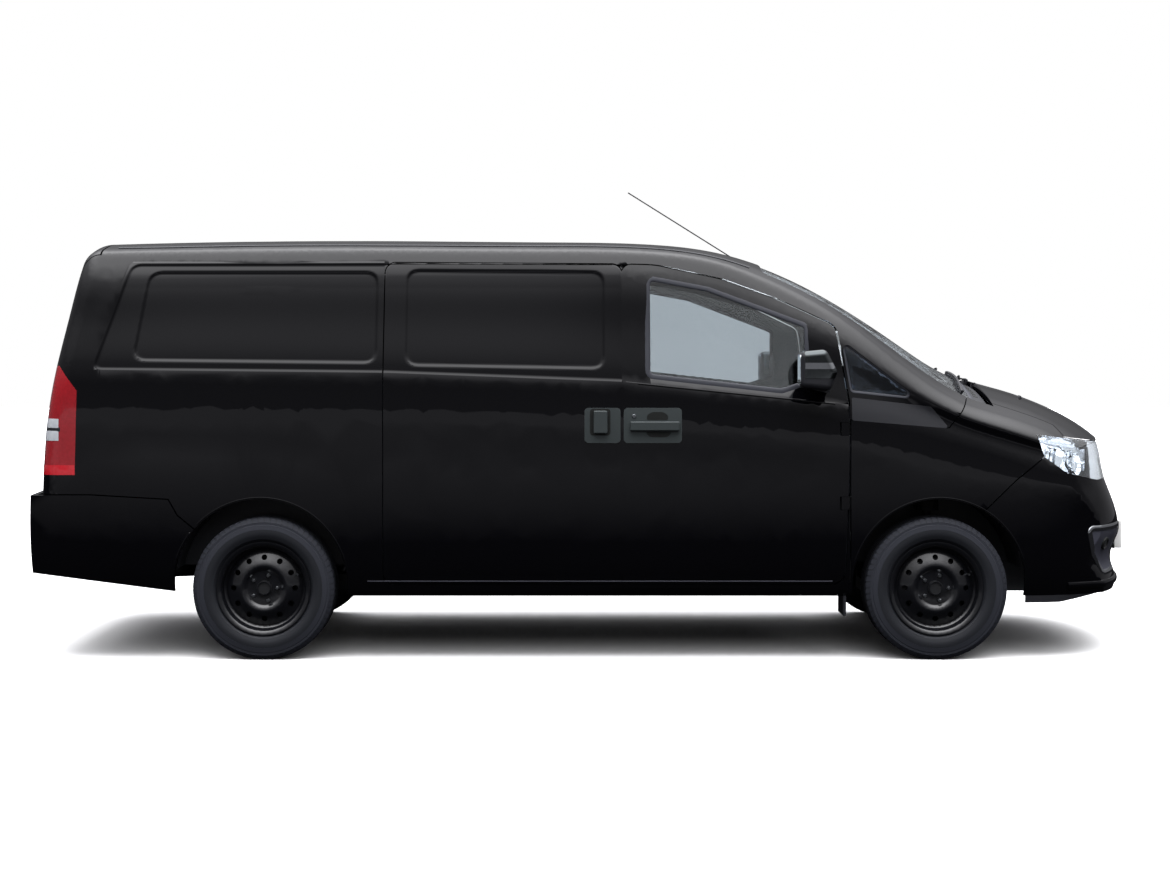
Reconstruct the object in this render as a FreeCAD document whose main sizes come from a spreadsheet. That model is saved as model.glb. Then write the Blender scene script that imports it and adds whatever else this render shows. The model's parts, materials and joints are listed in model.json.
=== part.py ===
"""Panel van: a one-box delivery van with two sliding side doors.

Frame: +X points to the nose, +Y to the left, +Z up. The origin lies on the
ground, midway between the two bumpers. Lengths are millimetres.
"""
import FreeCAD, Part
import Sketcher
import math
import os
import re

from FreeCAD import Placement, Rotation, Vector

os.makedirs("parts", exist_ok=True)
doc = FreeCAD.newDocument("PanelVan")

# Sizes
sheet = doc.addObject("Spreadsheet::Sheet", "Sizes")

SIZES = [
    # wheels and running gear
    ("front_axle_x", 1555, "front axle, from the middle of the van"),
    ("rear_axle_x", -1445, "rear axle"),
    ("wheel_y", 742, "wheel centre plane, from the van's centreline"),
    ("tyre_radius", 317, "tyre, outside"),
    ("tyre_width", 195, "tyre, widest"),
    ("tread_width", 168, "flat part of the tread"),
    ("rim_radius", 208, "rim flange"),
    ("seat_radius", 190, "rim, where the bead sits"),
    ("well_radius", 176, "rim, at the well"),
    ("rim_width", 172, "rim, over the flanges"),
    ("rim_wall", 5, "rim sheet"),
    ("disc_inset", 46, "wheel disc's mounting face, outboard of the wheel centre"),
    ("disc_wall", 6, "wheel disc sheet"),
    ("hub_hole_radius", 34, "wheel centre hole"),
    ("nose_radius", 100, "raised ring of the wheel disc"),
    ("vent_circle", 137, "circle of the vent holes"),
    ("vent_radius", 12.5, "vent hole"),
    ("vent_count", 12, "vent holes"),
    ("hub_radius", 72, "hub flange"),
    ("hub_fit", 0.4, "gap between a hub flange and its wheel disc"),
    ("spigot_gap", 1, "gap round a hub spigot"),
    ("brake_radius", 132, "brake disc"),
    ("kingpin_y", 700, "steering axis"),
    # shell
    ("wall", 50, "body and door wall, lining and all"),
    ("nose_wall", 25, "wings, bonnet and bumpers"),
    ("gap", 5, "shut line"),
    ("nose_bow", 220, "nose, bow in plan"),
    ("nose_turn", 140, "nose, extra turn at the corners"),
    ("tail_bow", 45, "tail, bow in plan"),
    ("bumper_bow", 50, "rear bumper, bow in plan"),
    ("bumper_proud", 6, "rear bumper, outside the body"),
    ("body_bottom", 284, "bottom of the sills"),
    ("sill_z", 370, "height where the sills turn in"),
    ("sill_tuck", 35, "sill's bottom edge, inside the belt"),
    ("sill_side", 12, "sill's side, inside the belt"),
    ("waist_z", 600, "lower end of the body's widest band"),
    ("waist_swell", 8, "widest band, outside the belt"),
    ("glass_swell", 9, "side windows' bulge"),
    ("half_width", 860, "widest half of the body"),
    ("sill_top", 341, "bottom edge of the wings and of the door openings"),
    ("tail_corner", 90, "rounding round the tail"),
    ("arch_radius", 386, "wheel arch"),
    ("arch_z", 333, "centre of the arches"),
    ("arch_shift", 10, "arches, away from the middle of the van"),
    ("roof_half", 600, "roof panel, half width"),
    ("screen_half", 680, "windscreen, half width at its foot"),
    ("header_x", 800, "top edge of the windscreen"),
    ("screen_foot_x", 1745, "foot of the windscreen"),
    ("band_depth", 6, "recess of the window band"),
    ("belt_line_rear_z", 1291, "belt crease at the tail"),
    ("belt_line_slide_z", 1278, "belt crease at the sliding door's rear edge"),
    ("belt_line_pillar_z", 1238, "belt crease at the front door's rear edge"),
    ("belt_line_front_z", 1138, "belt crease at the front door's front edge"),
    ("band_rear_x", -2208, "window band, rear end at the belt"),
    ("band_slope", 155, "window band, lean of the rear end"),
    ("press_depth", 6, "pressed panels, below the window band"),
    ("rear_press_x", -2031, "rear pressed panel, rear edge"),
    ("rear_press_end_x", -938, "rear pressed panel, front edge"),
    ("rear_press_low_z", 1331, "rear pressed panel, bottom"),
    ("rear_press_top_z", 1735, "rear pressed panel, top"),
    ("door_press_x", -815, "sliding door's pressed panel, rear edge"),
    ("door_press_end_x", 77, "sliding door's pressed panel, front edge"),
    ("door_press_low_z", 1309, "sliding door's pressed panel, bottom"),
    ("door_press_top_z", 1745, "sliding door's pressed panel, top"),
    ("press_corner", 60, "pressed panels' corners"),
    ("glass_inset", 9, "glass, below the skin"),
    ("glass_wall", 5, "glass"),
    # side doors
    ("slide_rear_x", -908, "sliding door, rear edge"),
    ("pillar_x", 153, "shut line between sliding and front door"),
    ("door_front_x", 1163, "front door, front edge"),
    ("hinge_gap", 8, "shut line at the hinged edges"),
    ("door_corner", 45, "door corners"),
    ("door_top_drop", 3, "doors, below the cant rail line"),
    ("door_mid_z", 914, "height where the front door's front edge turns back"),
    ("hinge_x", 1140, "front door hinge line"),
    ("hinge_y", 848, "front door hinge line"),
    ("hinge_low_z", 700, "lower door hinge"),
    ("hinge_high_z", 1030, "upper door hinge"),
    ("hinge_height", 50, "door hinges"),
    ("hinge_back", 20, "door hinge pocket, behind the hinge line"),
    ("hinge_lug", 8, "door hinge lugs, behind the hinge line"),
    ("hinge_lug_front", 15, "door hinge lugs, end before the hinge pillar"),
    ("hinge_lug_out", 7, "door hinge lugs, outboard of the hinge line"),
    ("hinge_lug_in", 60, "door hinge lugs, inboard of the hinge line"),
    ("hinge_arm_out", 24, "door hinge arms, outboard face from the hinge line"),
    ("hinge_arm_in", 80, "door hinge arms, inboard face from the hinge line"),
    ("hinge_post_in", 110, "hinge posts, inboard face from the hinge line"),
    ("bonnet_pocket", 16, "hinge pocket in the bonnet, in front of the hinge line"),
    ("bonnet_ear_back", 12, "bonnet hinge ears, behind the hinge line"),
    ("bonnet_ear_front", 8, "bonnet hinge ears, in front of the hinge line"),
    ("plenum_front", 10, "shelf under the cowl, in front of the bonnet hinge line"),
    ("ear_top", 7, "hinge ears, above the pin"),
    ("tail_ear_back", 8, "tailgate hinge ears, behind the hinge line"),
    ("tail_ear_low", 14, "tailgate hinge ears, below the pin"),
    ("tail_pocket", 16, "hinge pocket in the tailgate, behind the hinge line"),
    ("pane_corner", 20, "corner radius of the quarter glass and the fog panels"),
    ("trim_corner", 8, "corner radius of the quarter trim"),
    ("lift_x", -1844, "rear bumper, foot of its rising lower edge"),
    ("lift_z", 306, "rear bumper, lower edge at the foot"),
    ("tail_low_x", -2417, "rear bumper, tail end of its lower edge"),
    ("tail_low_z", 382, "rear bumper, lower edge at the tail"),
    ("tow_rim", 20, "bumper hole round the towing socket"),
    ("beam_back", 10, "front beam, behind its line"),
    ("beam_front", 30, "front beam, in front of its line"),
    ("pillar_post_x", 1175, "hinge pillar"),
    ("pillar_post_wall", 45, "hinge pillar"),
    ("handle_y", 884, "door handles, outermost"),
    ("handle_wall", 16, "door handle bars"),
    ("handle_low_z", 1022, "door handle bar, bottom"),
    ("handle_high_z", 1064, "door handle bar, top"),
    ("handle_x", 188, "front door handle bar, rear end"),
    ("handle_end_x", 408, "front door handle bar, front end"),
    ("plate_x", 160, "front handle plate, rear end"),
    ("plate_end_x", 418, "front handle plate, front end"),
    ("plate_low_z", 968, "handle plates, bottom"),
    ("plate_high_z", 1124, "handle plates, top"),
    ("plate_proud", 4, "handle plates, outside the skin"),
    ("slide_plate_x", -14, "sliding door handle plate, rear end"),
    ("slide_plate_end_x", 146, "sliding door handle plate, front end"),
    ("mirror_x", 930, "mirror, rear face"),
    ("mirror_length", 160, "mirror, front to back"),
    ("mirror_width", 150, "mirror, side to side"),
    ("mirror_z", 1200, "mirror, bottom"),
    ("mirror_height", 182, "mirror"),
    ("mirror_y", 872, "mirror, inner end"),
    ("pin_radius", 4, "hinge pins"),
    ("pin_gap", 0.3, "gap round a hinge pin"),
    ("front_window_drop", 58, "door window, below the door's top edge"),
    ("window_rear_x", 265, "door window, rear edge"),
    ("window_front_x", 985, "door window, front edge"),
    ("window_sill_z", 1262, "door window, bottom edge at the rear"),
    ("window_dip_z", 1195, "door window, bottom edge at the front"),
    ("window_corner", 30, "door window corners"),
    ("seal", 0.3, "gap between a pane or lamp and its opening"),
    ("pane_x", 1133, "quarter window, rear edge"),
    ("pane_top_z", 1430, "quarter window, top corner"),
    ("pane_tip_x", 1484, "quarter window, front corner"),
    ("pane_tip_z", 1158, "quarter window, front corner"),
    ("pane_low_z", 1192, "quarter window, bottom corner"),
    ("trim_x", 1175, "quarter trim, rear edge"),
    ("trim_top_z", 1170, "quarter trim, top"),
    ("trim_low_z", 1068, "quarter trim, bottom"),
    ("trim_tip_x", 1610, "quarter trim, front tip"),
    ("trim_tip_z", 1032, "quarter trim, front tip"),
    ("wing_top_z", 1200, "wing's top edge at the foot of the windscreen"),
    # lamps
    ("lamp_rear_x", 2004, "headlamp, rear corner"),
    ("lamp_rear_z", 1003, "headlamp, rear corner"),
    ("lamp_front_z", 945, "headlamp, top edge at the nose"),
    ("lamp_low_z", 790, "headlamp, bottom edge at the nose"),
    ("lamp_half", 430, "headlamp, inner end"),
    ("lamp_wall", 40, "lamp units"),
    ("split_x", 1906, "wing and bumper shut line"),
    ("split_z", 799, "wing and bumper shut line"),
    ("tail_lamp_x", -2270, "tail lamp, front edge"),
    ("tail_lamp_top_z", 1310, "tail lamp, top"),
    ("tail_lamp_front_z", 1200, "tail lamp, top of the front edge"),
    ("tail_lamp_low_z", 825, "tail lamp, bottom"),
    ("fog_x", 2250, "fog lamp surround, rear edge"),
    ("fog_top_z", 580, "fog lamp surround, top"),
    ("fog_low_z", 372, "fog lamp surround, bottom"),
    ("fog_y", 470, "fog lamp surround, inner end"),
    ("grille_half", 415, "grille, half width"),
    ("grille_top_z", 915, "grille, top"),
    ("grille_low_z", 815, "grille, bottom"),
    ("intake_half", 330, "lower air intake, half width"),
    ("intake_top_z", 455, "lower air intake, top"),
    ("intake_bottom_z", 375, "lower air intake, bottom"),
    # tail
    ("tailgate_top_x", -2205, "tailgate, front edge in the roof"),
    ("tailgate_gap", 8, "shut line between tailgate and roof"),
    ("tailgate_half", 690, "tailgate, half width"),
    ("bumper_top", 735, "rear bumper, top"),
    # bonnet
    ("bonnet_rear_x", 1840, "bonnet, rear edge"),
    ("bonnet_half", 640, "bonnet, half width"),
    # floor
    ("floor_z", 545, "load floor"),
    ("floor_wall", 45, "floor"),
    ("cowl_wall", 20, "cowl panel"),
    ("rear_pane_low_z", 1190, "tailgate window, bottom"),
    ("rear_pane_top_z", 1690, "tailgate window, top"),
    ("rear_pane_half", 590, "tailgate window, half width"),
    ("firewall_x", 1640, "firewall"),
    ("firewall_top_z", 1180, "firewall, top"),
    ("house_gap", 4, "wheelhouse, outside the arch"),
    ("house_wall", 6, "wheelhouse sheet"),
    ("house_low_z", 400, "wheelhouse, bottom edge"),
    ("front_house_y", 462, "front wheelhouse, inboard face"),
    ("rear_house_y", 590, "rear wheelhouse, inboard face"),
    ("cab_floor_z", 515, "cab floor"),
    ("panel_wall", 30, "upright panels"),
    ("plenum_half", 515, "shelf under the cowl, half width"),
    ("tow_recess", 8, "mouth of the towing socket, behind the bumper's face"),
    ("tow_wall", 8, "wall of the towing socket"),
    ("rear_panel_x", -2430, "panel below the tailgate"),
    ("rear_panel_z", 400, "panel below the tailgate, bottom"),
    ("rear_rail_y", 430, "rear chassis rails, inboard face"),
    ("front_rail_y", 350, "front chassis rails, inboard face"),
    ("rail_width", 80, "chassis rails"),
    ("rail_depth", 90, "chassis rails"),
    ("beam_x", 2290, "front cross beam"),
    ("dash_x", 1225, "dashboard, rear edge"),
    ("dash_z", 1180, "dashboard, top"),
    ("bead_gap", 0.3, "gap between tyre and rim"),
    ("spare_x", -2000, "spare wheel"),
    ("spigot_length", 18, "hub spigot, beyond the mounting face"),
    ("post_radius", 22, "steering post"),
    ("post_reach", 110, "steering post, above and below the axle"),
    ("subframe_half", 380, "front subframe, half width"),
    ("subframe_z", 185, "front subframe, bottom"),
    ("strut_y", 565, "front struts"),
    ("strut_low_z", 480, "front struts, bottom"),
    ("spring_low_z", 650, "front springs, bottom"),
    ("spring_radius", 55, "springs"),
    ("damper_radius", 22, "dampers"),
    ("rack_half", 350, "steering rack, half length"),
    ("trail_y", 560, "trailing arms, outer face"),
    ("trail_length", 420, "trailing arms"),
    ("engine_half", 300, "engine, half width"),
    ("engine_top_z", 960, "engine, top"),
    ("tank_x", -850, "fuel tank, rear"),
    ("tank_length", 900, "fuel tank"),
    ("tank_depth", 200, "fuel tank"),
    ("bonnet_hinge_x", 1848, "bonnet hinge line"),
    ("bonnet_hinge_z", 1219, "bonnet hinge line"),
    ("bonnet_hinge_y", 180, "bonnet hinges, off the centreline"),
    ("plenum_z", 1130, "shelf under the cowl"),
    ("tailgate_hinge_x", -2235, "tailgate hinge line"),
    ("tailgate_hinge_z", 1868, "tailgate hinge line"),
    ("tailgate_hinge_y", 200, "tailgate hinges, off the centreline"),
    ("ear_width", 20, "hinge ears on bonnet and tailgate brackets"),
    ("grille_frame", 24, "border round the slots of a grille"),
    ("grille_rib", 12, "ribs between the slots of a grille"),
    ("grille_columns", 4, "slots side by side in a grille"),
    ("grille_rows", 3, "rows of slots in a grille"),
    ("mirror_round", 28, "edge radius of a mirror head"),
    ("plate_corner", 18, "corner radius of a handle plate"),
    ("handle_round", 6, "edge radius of a handle"),
    ("handle_foot", 26, "feet of a handle"),
    ("handle_foot_in", 8, "feet of a handle, behind its face"),
    ("handle_foot_end", 4, "feet of a handle, from its ends"),
    ("slide_grip_back", 40, "sliding door grip, behind the middle of its plate"),
    ("slide_grip_front", 22, "sliding door grip, in front of the middle of its plate"),
    ("slide_grip_low", 42, "sliding door grip, above the plate's lower edge"),
    ("slide_grip_high", 12, "sliding door grip, below the plate's upper edge"),
    ("slide_foot", 14, "feet of the sliding door grip"),
    ("dash_top", 70, "dashboard, slope of its rear face"),
    ("dash_lip", 40, "dashboard, height of its rear edge"),
    ("dash_depth", 340, "dashboard, from top to bottom"),
    ("dash_knee_x", 110, "dashboard, knee panel"),
    ("dash_knee_z", 240, "dashboard, knee panel, below the top"),
    ("dash_round", 60, "dashboard, edge radius"),
    ("dash_edge", 20, "dashboard, radius of its rear edge"),
    ("partition_wall", 20, "partition"),
    ("boss_radius", 55, "steering wheel boss"),
    ("boss_length", 40, "steering wheel boss"),
    ("spoke_radius", 11, "steering wheel spokes"),
    ("column_radius", 38, "steering column"),
    ("column_length", 400, "steering column"),
    ("pedestal_rim", 40, "seat pedestal, inside the cushion's sides"),
    ("pedestal_rear", 30, "seat pedestal, behind the cushion"),
    ("pedestal_front", 60, "seat pedestal, behind the cushion's front"),
    ("cushion_rear", 20, "cushion, behind the seat's place"),
    ("cushion_round", 35, "edge radius of the cushions"),
    ("back_side", 15, "seat backs, narrower than the cushions at each side"),
    ("back_round", 40, "edge radius of the seat backs"),
    ("rest_rise", 12, "head restraints, above the seat backs"),
    ("rest_round", 30, "edge radius of the head restraints"),
    ("rest_front", 15, "head restraints, behind the face of the seat back"),
    ("stem_radius", 8, "head restraint stems"),
    ("stem_length", 80, "head restraint stems"),
    ("stem_sunk", 30, "head restraint stems, inside the seat back"),
    ("stem_y", 60, "head restraint stems, from the seat's middle"),
    ("flap_wall", 12, "mud flaps"),
    ("caliper_out", 20, "brake calipers, outside the disc's edge"),
    ("caliper_in", 35, "brake calipers, inside the disc's edge"),
    ("caliper_front", 26, "brake calipers, outboard of the wheel's plane"),
    ("caliper_back", 30, "brake calipers, inboard of the wheel's plane"),
    ("caliper_half", 45, "brake calipers, half height"),
    ("caliper_arm", 18, "caliper carriers"),
    ("subframe_back", 190, "front subframe, behind the axle"),
    ("subframe_front", 260, "front subframe, in front of the axle"),
    ("subframe_wall", 60, "front subframe"),
    ("subframe_post", 40, "posts from the subframe to the rails"),
    ("arm_half", 25, "front wishbones, half width"),
    ("arm_wall", 26, "front wishbones"),
    ("rack_radius", 22, "steering rack"),
    ("rack_back", 150, "steering rack, behind the axle"),
    ("cross_radius", 45, "rear cross tube"),
    ("trail_half", 35, "trailing arms, half height"),
    ("hanger_half", 20, "trailing arm hangers, half width"),
    ("coil_front", 130, "rear springs, in front of the axle"),
    ("engine_rear", 150, "engine block, rear face from the axle"),
    ("engine_front", 560, "engine block, front face from the axle"),
    ("flap_outside", 22, "mud flaps, inboard of the door hinge line"),
    ("aerial_radius", 3, "antenna rod"),
    ("aerial_cone", 14, "antenna foot cone, at its base"),
    ("aerial_cone_tip", 5, "antenna foot cone, at its tip"),
    ("aerial_cone_length", 40, "antenna foot cone"),
    ("aerial_foot", 26, "antenna foot"),
    ("aerial_sunk", 35, "antenna foot, below the cone"),
    ("pin_length", 20, "hinge pins, into each side"),
    ("wheel_rim_x", 1150, "steering wheel centre"),
    ("wheel_rim_y", 390, "steering wheel centre"),
    ("wheel_rim_z", 1115, "steering wheel centre"),
    ("wheel_rim_radius", 185, "steering wheel"),
    ("wheel_grip", 15, "steering wheel grip"),
    ("column_lean", 32, "steering column, degrees above level"),
    ("seat_y", 400, "seats, off the centreline"),
    ("seat_x", 350, "seat cushion, rear end"),
    ("seat_length", 490, "seat cushion"),
    ("seat_width", 500, "seats"),
    ("seat_z", 830, "seat cushion, underside"),
    ("cushion", 120, "seat cushion thickness"),
    ("seat_joint", 15.8, "seat back foot, behind the cushion"),
    ("seat_drop", 1.7, "seat back foot, above the cushion underside"),
    ("back_wall", 130, "seat back thickness"),
    ("back_height", 560, "seat back"),
    ("back_lean", 7, "seat back, degrees"),
    ("rest_height", 170, "head restraint"),
    ("rest_width", 260, "head restraint"),
    ("flap_x", 1140, "mud flap"),
    ("flap_low_z", 195, "mud flap, bottom"),
    ("flap_y", 640, "mud flap, inner edge"),
    ("tow_radius", 10, "towing eye socket"),
    ("tow_length", 60, "towing eye socket"),
    ("tow_y", 390, "towing eye socket, right of the centreline"),
    ("tow_z", 455, "towing eye socket"),
    ("aerial_x", 738, "aerial foot"),
    ("aerial_z", 1812, "aerial foot"),
    ("aerial_back", 536, "aerial tip, behind its foot"),
    ("aerial_up", 336, "aerial tip, above its foot"),
    ("partition_x", 70, "partition behind the seats"),
]

# The body is a loft through these cross-sections, tail to nose:
# station, x, crown z, rail z, rail y, belt z, belt y, crown squareness, crown fullness
STATIONS = [
    ("tail_end", -2600, 1858, 1772, 722, 1295, 838, 3.4, 0.50),
    ("tail", -2200, 1880, 1773, 723, 1292, 846, 3.4, 0.50),
    ("rear_wheel", -1600, 1894, 1775, 723, 1287, 849, 3.4, 0.50),
    ("load_rear", -900, 1897, 1777, 724, 1279, 851, 3.4, 0.50),
    ("load_front", -200, 1891, 1778, 725, 1258, 852, 3.4, 0.50),
    ("cab_rear", 300, 1880, 1766, 729, 1227, 852, 3.4, 0.50),
    ("cab", 600, 1844, 1702, 735, 1195, 852, 3.4, 0.50),
    ("header", 850, 1772, 1611, 745, 1161, 852, 3.0, 0.58),
    ("screen_high", 1150, 1628, 1472, 764, 1112, 852, 2.6, 0.68),
    ("screen_middle", 1450, 1443, 1256, 795, 1041, 851, 2.2, 0.78),
    ("screen_low", 1700, 1287, 1114, 812, 969, 850, 2.0, 0.85),
    ("cowl", 1850, 1231, 1065, 806, 924, 845, 2.0, 0.85),
    ("bonnet_rear", 2020, 1184, 1011, 790, 875, 833, 2.0, 0.85),
    ("bonnet_middle", 2180, 1125, 958, 747, 834, 792, 2.0, 0.85),
    ("bonnet_front", 2320, 1055, 900, 680, 801, 724, 2.0, 0.85),
    ("nose", 2450, 947, 840, 570, 771, 620, 2.0, 0.85),
    ("nose_end", 2560, 814, 789, 435, 745, 494, 2.0, 0.85),
]
# Side profiles of the two ends: point, x, z
TAIL_LINE = [
    ("rear_skirt", -2428, 200),
    ("rear_low", -2432, 750),
    ("rear_belt", -2405, 1110),
    ("rear_upper", -2340, 1450),
    ("rear_rail", -2262, 1799),
    ("rear_crown", -2215, 2000),
]
BUMPER_LINE = [
    ("back_under", -2440, 180),
    ("back_low", -2462, 340),
    ("back_middle", -2475, 540),
    ("back_high", -2472, 800),
]
NOSE_LINE = [
    ("lip_under", 2470, 180),
    ("lip_low", 2497, 262),
    ("lip", 2513, 331),
    ("intake_low", 2490, 400),
    ("intake", 2494, 470),
    ("bumper_front", 2525, 550),
    ("bumper_high", 2516, 640),
    ("bumper_edge", 2488, 720),
    ("face_low", 2462, 790),
    ("face_high", 2440, 900),
    ("bonnet_lip", 2415, 1000),
    ("bonnet_above", 2340, 1300),
    ("roof_level", 2260, 2000),
]
COLUMNS = ["at", "crown_z", "rail_z", "rail_y", "belt_z", "belt_y", "square", "full"]

row = 1
for alias, value, meaning in SIZES:
    sheet.set("A%d" % row, meaning)
    sheet.set("B%d" % row, str(value))
    sheet.setAlias("B%d" % row, alias)
    row += 1
for station in STATIONS:
    sheet.set("A%d" % row, station[0])
    for column, name, value in zip("BCDEFGHI", COLUMNS, station[1:]):
        sheet.set("%s%d" % (column, row), str(value))
        sheet.setAlias("%s%d" % (column, row), station[0] + "_" + name)
    row += 1
for point, x, z in TAIL_LINE + BUMPER_LINE + NOSE_LINE:
    sheet.set("A%d" % row, point)
    sheet.set("B%d" % row, str(x))
    sheet.setAlias("B%d" % row, point + "_x")
    sheet.set("C%d" % row, str(z))
    sheet.setAlias("C%d" % row, point + "_z")
    row += 1
doc.recompute()


def mm(alias):
    """Value of one size."""
    return float(sheet.get(alias))


def station_table(name):
    """(x, value) at every station, tail to nose."""
    return [(mm(s[0] + "_at"), mm(s[0] + "_" + name)) for s in STATIONS]


def along(name, x):
    """Value of a station column at x, straight between stations."""
    table = station_table(name)
    for (x_a, a), (x_b, b) in zip(table, table[1:]):
        if x <= x_b:
            break
    return a + (b - a) * (x - x_a) / (x_b - x_a)


nodes = []


def node(obj, label):
    """Name a finished sub-part."""
    obj.Label = label
    nodes.append(obj)
    return obj


def feature(label, shape):
    """Free-form sub-part."""
    obj = doc.addObject("Part::Feature", label)
    obj.Shape = shape
    obj.Placement = Placement()
    return node(obj, label)


def mirrored(obj, label):
    """The same sub-part on the left-hand side."""
    twin = doc.addObject("Part::Mirroring", label)
    twin.Source = obj
    twin.Normal = Vector(0, 1, 0)
    return node(twin, label)


def solids(shape):
    """Solids of a boolean result, joined in a compound when there are several."""
    found = shape.Solids
    return found[0] if len(found) == 1 else Part.makeCompound(found)


def both(shape):
    """A right-hand shape together with its mirror image."""
    return Part.makeCompound(shape.Solids + shape.mirror(Vector(), Vector(0, 1, 0)).Solids)


# Sketch and primitive helpers; sizes are given as expressions of the sheet's names
def sized(expression):
    """The expression with the sheet's name before each size."""
    return re.sub(r"\b(?!sqrt\b)[a-z][a-z_]+", lambda word: "Sizes." + word.group(), str(expression))


def value(expression):
    return float(sheet.evalExpression(sized(expression)))


def outline(body, label, points, role="XY_Plane"):
    """Closed sketch through points whose coordinates are bound to the sizes."""
    sketch = body.newObject("Sketcher::SketchObject", label)
    plane = next(f for f in body.Origin.OriginFeatures if f.Role == role)
    sketch.AttachmentSupport = [(plane, "")]
    sketch.MapMode = "FlatFace"
    ring = [Vector(value(a), value(b), 0) for a, b in points]
    count = len(ring)
    for i in range(count):
        sketch.addGeometry(Part.LineSegment(ring[i], ring[(i + 1) % count]), False)
    for i in range(count):
        sketch.addConstraint(Sketcher.Constraint("Coincident", i, 2, (i + 1) % count, 1))
    for i, (across, up) in enumerate(points):
        for kind, word, expression in (("DistanceX", "across", across), ("DistanceY", "up", up)):
            name = "%s%d" % (word, i)
            index = sketch.addConstraint(Sketcher.Constraint(kind, -1, 1, i, 1, value(expression)))
            sketch.renameConstraint(index, name)
            sketch.setExpression("Constraints." + name, sized(expression))
    return sketch


def turned(label, points):
    """Body turned about its Y axis; points are radius and distance along the axis."""
    body = doc.addObject("PartDesign::Body", label)
    sketch = outline(body, label + "_profile", points)
    turn = body.newObject("PartDesign::Revolution", label + "_turn")
    turn.Profile = sketch
    turn.ReferenceAxis = (sketch, ["V_Axis"])
    turn.Angle = 360
    return body


def placed(obj, x, y, z):
    """Bind the position of an object."""
    for axis, expression in (("x", x), ("y", y), ("z", z)):
        obj.setExpression("Placement.Base." + axis, sized(expression))
    return obj


def copied(obj, label, x, y, z):
    """Another of the same piece somewhere else."""
    shape = obj.Shape.copy()
    shape.Placement = Placement()
    twin = doc.addObject("Part::Feature", label)
    twin.Shape = shape
    placed(twin, x, y, z)
    return node(twin, label)


def box(label, x, y, z):
    """Box between two x, two y and two z expressions."""
    obj = doc.addObject("Part::Box", label)
    obj.setExpression("Length", sized("(%s) - (%s)" % (x[1], x[0])))
    obj.setExpression("Width", sized("(%s) - (%s)" % (y[1], y[0])))
    obj.setExpression("Height", sized("(%s) - (%s)" % (z[1], z[0])))
    return placed(obj, x[0], y[0], z[0])


def bar(label, axis, radius, length, x, y, z):
    """Round bar that starts at a point and runs along X, Y or Z."""
    obj = doc.addObject("Part::Cylinder", label)
    obj.setExpression("Radius", sized(radius))
    obj.setExpression("Height", sized(length))
    turn = {"X": Rotation(Vector(0, 1, 0), 90), "Y": Rotation(Vector(1, 0, 0), -90), "Z": Rotation()}
    obj.Placement = Placement(Vector(), turn[axis])
    return placed(obj, x, y, z)


def joined(label, parts):
    """Pieces welded into one."""
    obj = doc.addObject("Part::MultiFuse", label)
    obj.Shapes = parts
    obj.Refine = True
    return obj


def grouped(label, parts):
    """Pieces that share a name and don't touch."""
    obj = doc.addObject("Part::Compound", label)
    obj.Links = parts
    return obj


# Outline helpers
def grown(points, distance):
    """Polygon moved outwards by a distance; points run in either direction."""
    area = sum(a[0] * b[1] - b[0] * a[1] for a, b in zip(points, points[1:] + points[:1]))
    side = 1 if area > 0 else -1
    lines = []
    for a, b in zip(points, points[1:] + points[:1]):
        length = math.hypot(b[0] - a[0], b[1] - a[1])
        normal = (side * (b[1] - a[1]) / length, -side * (b[0] - a[0]) / length)
        lines.append((normal, normal[0] * a[0] + normal[1] * a[1] + distance))
    moved = []
    for (n, c), (m, d) in zip(lines[-1:] + lines[:-1], lines):
        cross = n[0] * m[1] - n[1] * m[0]
        if abs(cross) < 1e-6:
            point = points[len(moved)]
            moved.append((point[0] + m[0] * distance, point[1] + m[1] * distance))
        else:
            moved.append(((c * m[1] - d * n[1]) / cross, (n[0] * d - m[0] * c) / cross))
    return moved


def rounded_face(points, radius):
    """Face in the XZ plane with its corners rounded; one radius, or one for each corner."""
    radii = radius if isinstance(radius, list) else [radius] * len(points)
    ring = [Vector(x, 0, z) for x, z in points]
    edges = []
    last = None
    first = None
    for i, corner in enumerate(ring):
        before = ring[i - 1] - corner
        after = ring[(i + 1) % len(ring)] - corner
        if radii[i] <= 0:
            start = end = corner
            middle = None
        else:
            half = before.getAngle(after) / 2
            reach = min(radii[i] / math.tan(half), 0.49 * before.Length, 0.49 * after.Length)
            start = corner + before.normalize() * reach
            end = corner + after.normalize() * reach
            inward = (before + after).normalize()
            bend = reach * math.tan(half)
            middle = corner + inward * (bend / math.sin(half) - bend)
        if last is None:
            first = start
        elif (start - last).Length > 1e-6:
            edges.append(Part.LineSegment(last, start).toShape())
        if middle is not None:
            edges.append(Part.Arc(start, middle, end).toShape())
        last = end
    if (first - last).Length > 1e-6:
        edges.append(Part.LineSegment(last, first).toShape())
    return Part.Face(Part.Wire(edges))


FAR = 3500.0
HIGH = 2500.0


def side_prism(points, radius=0, grow=0, y_from=-1200.0, y_to=-300.0):
    """Side-view outline, pulled through the right-hand side."""
    if isinstance(radius, list):
        radii = [r + grow if r else 0 for r in radius]
    else:
        radii = radius + grow if radius else 0
    face = rounded_face(grown(points, grow) if grow else points, radii)
    face.translate(Vector(0, y_from, 0))
    return face.extrude(Vector(0, y_to - y_from, 0))


def plan_prism(points, grow=0, z_from=100.0, z_to=2500.0):
    """Plan-view outline, pulled upwards."""
    ring = [Vector(x, y, z_from) for x, y in (grown(points, grow) if grow else points)]
    face = Part.Face(Part.makePolygon(ring + ring[:1]))
    return face.extrude(Vector(0, 0, z_to - z_from))


def block(x, y, z):
    """Box between two x, two y and two z."""
    return Part.makeBox(x[1] - x[0], y[1] - y[0], z[1] - z[0], Vector(x[0], y[0], z[0]))


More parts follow.
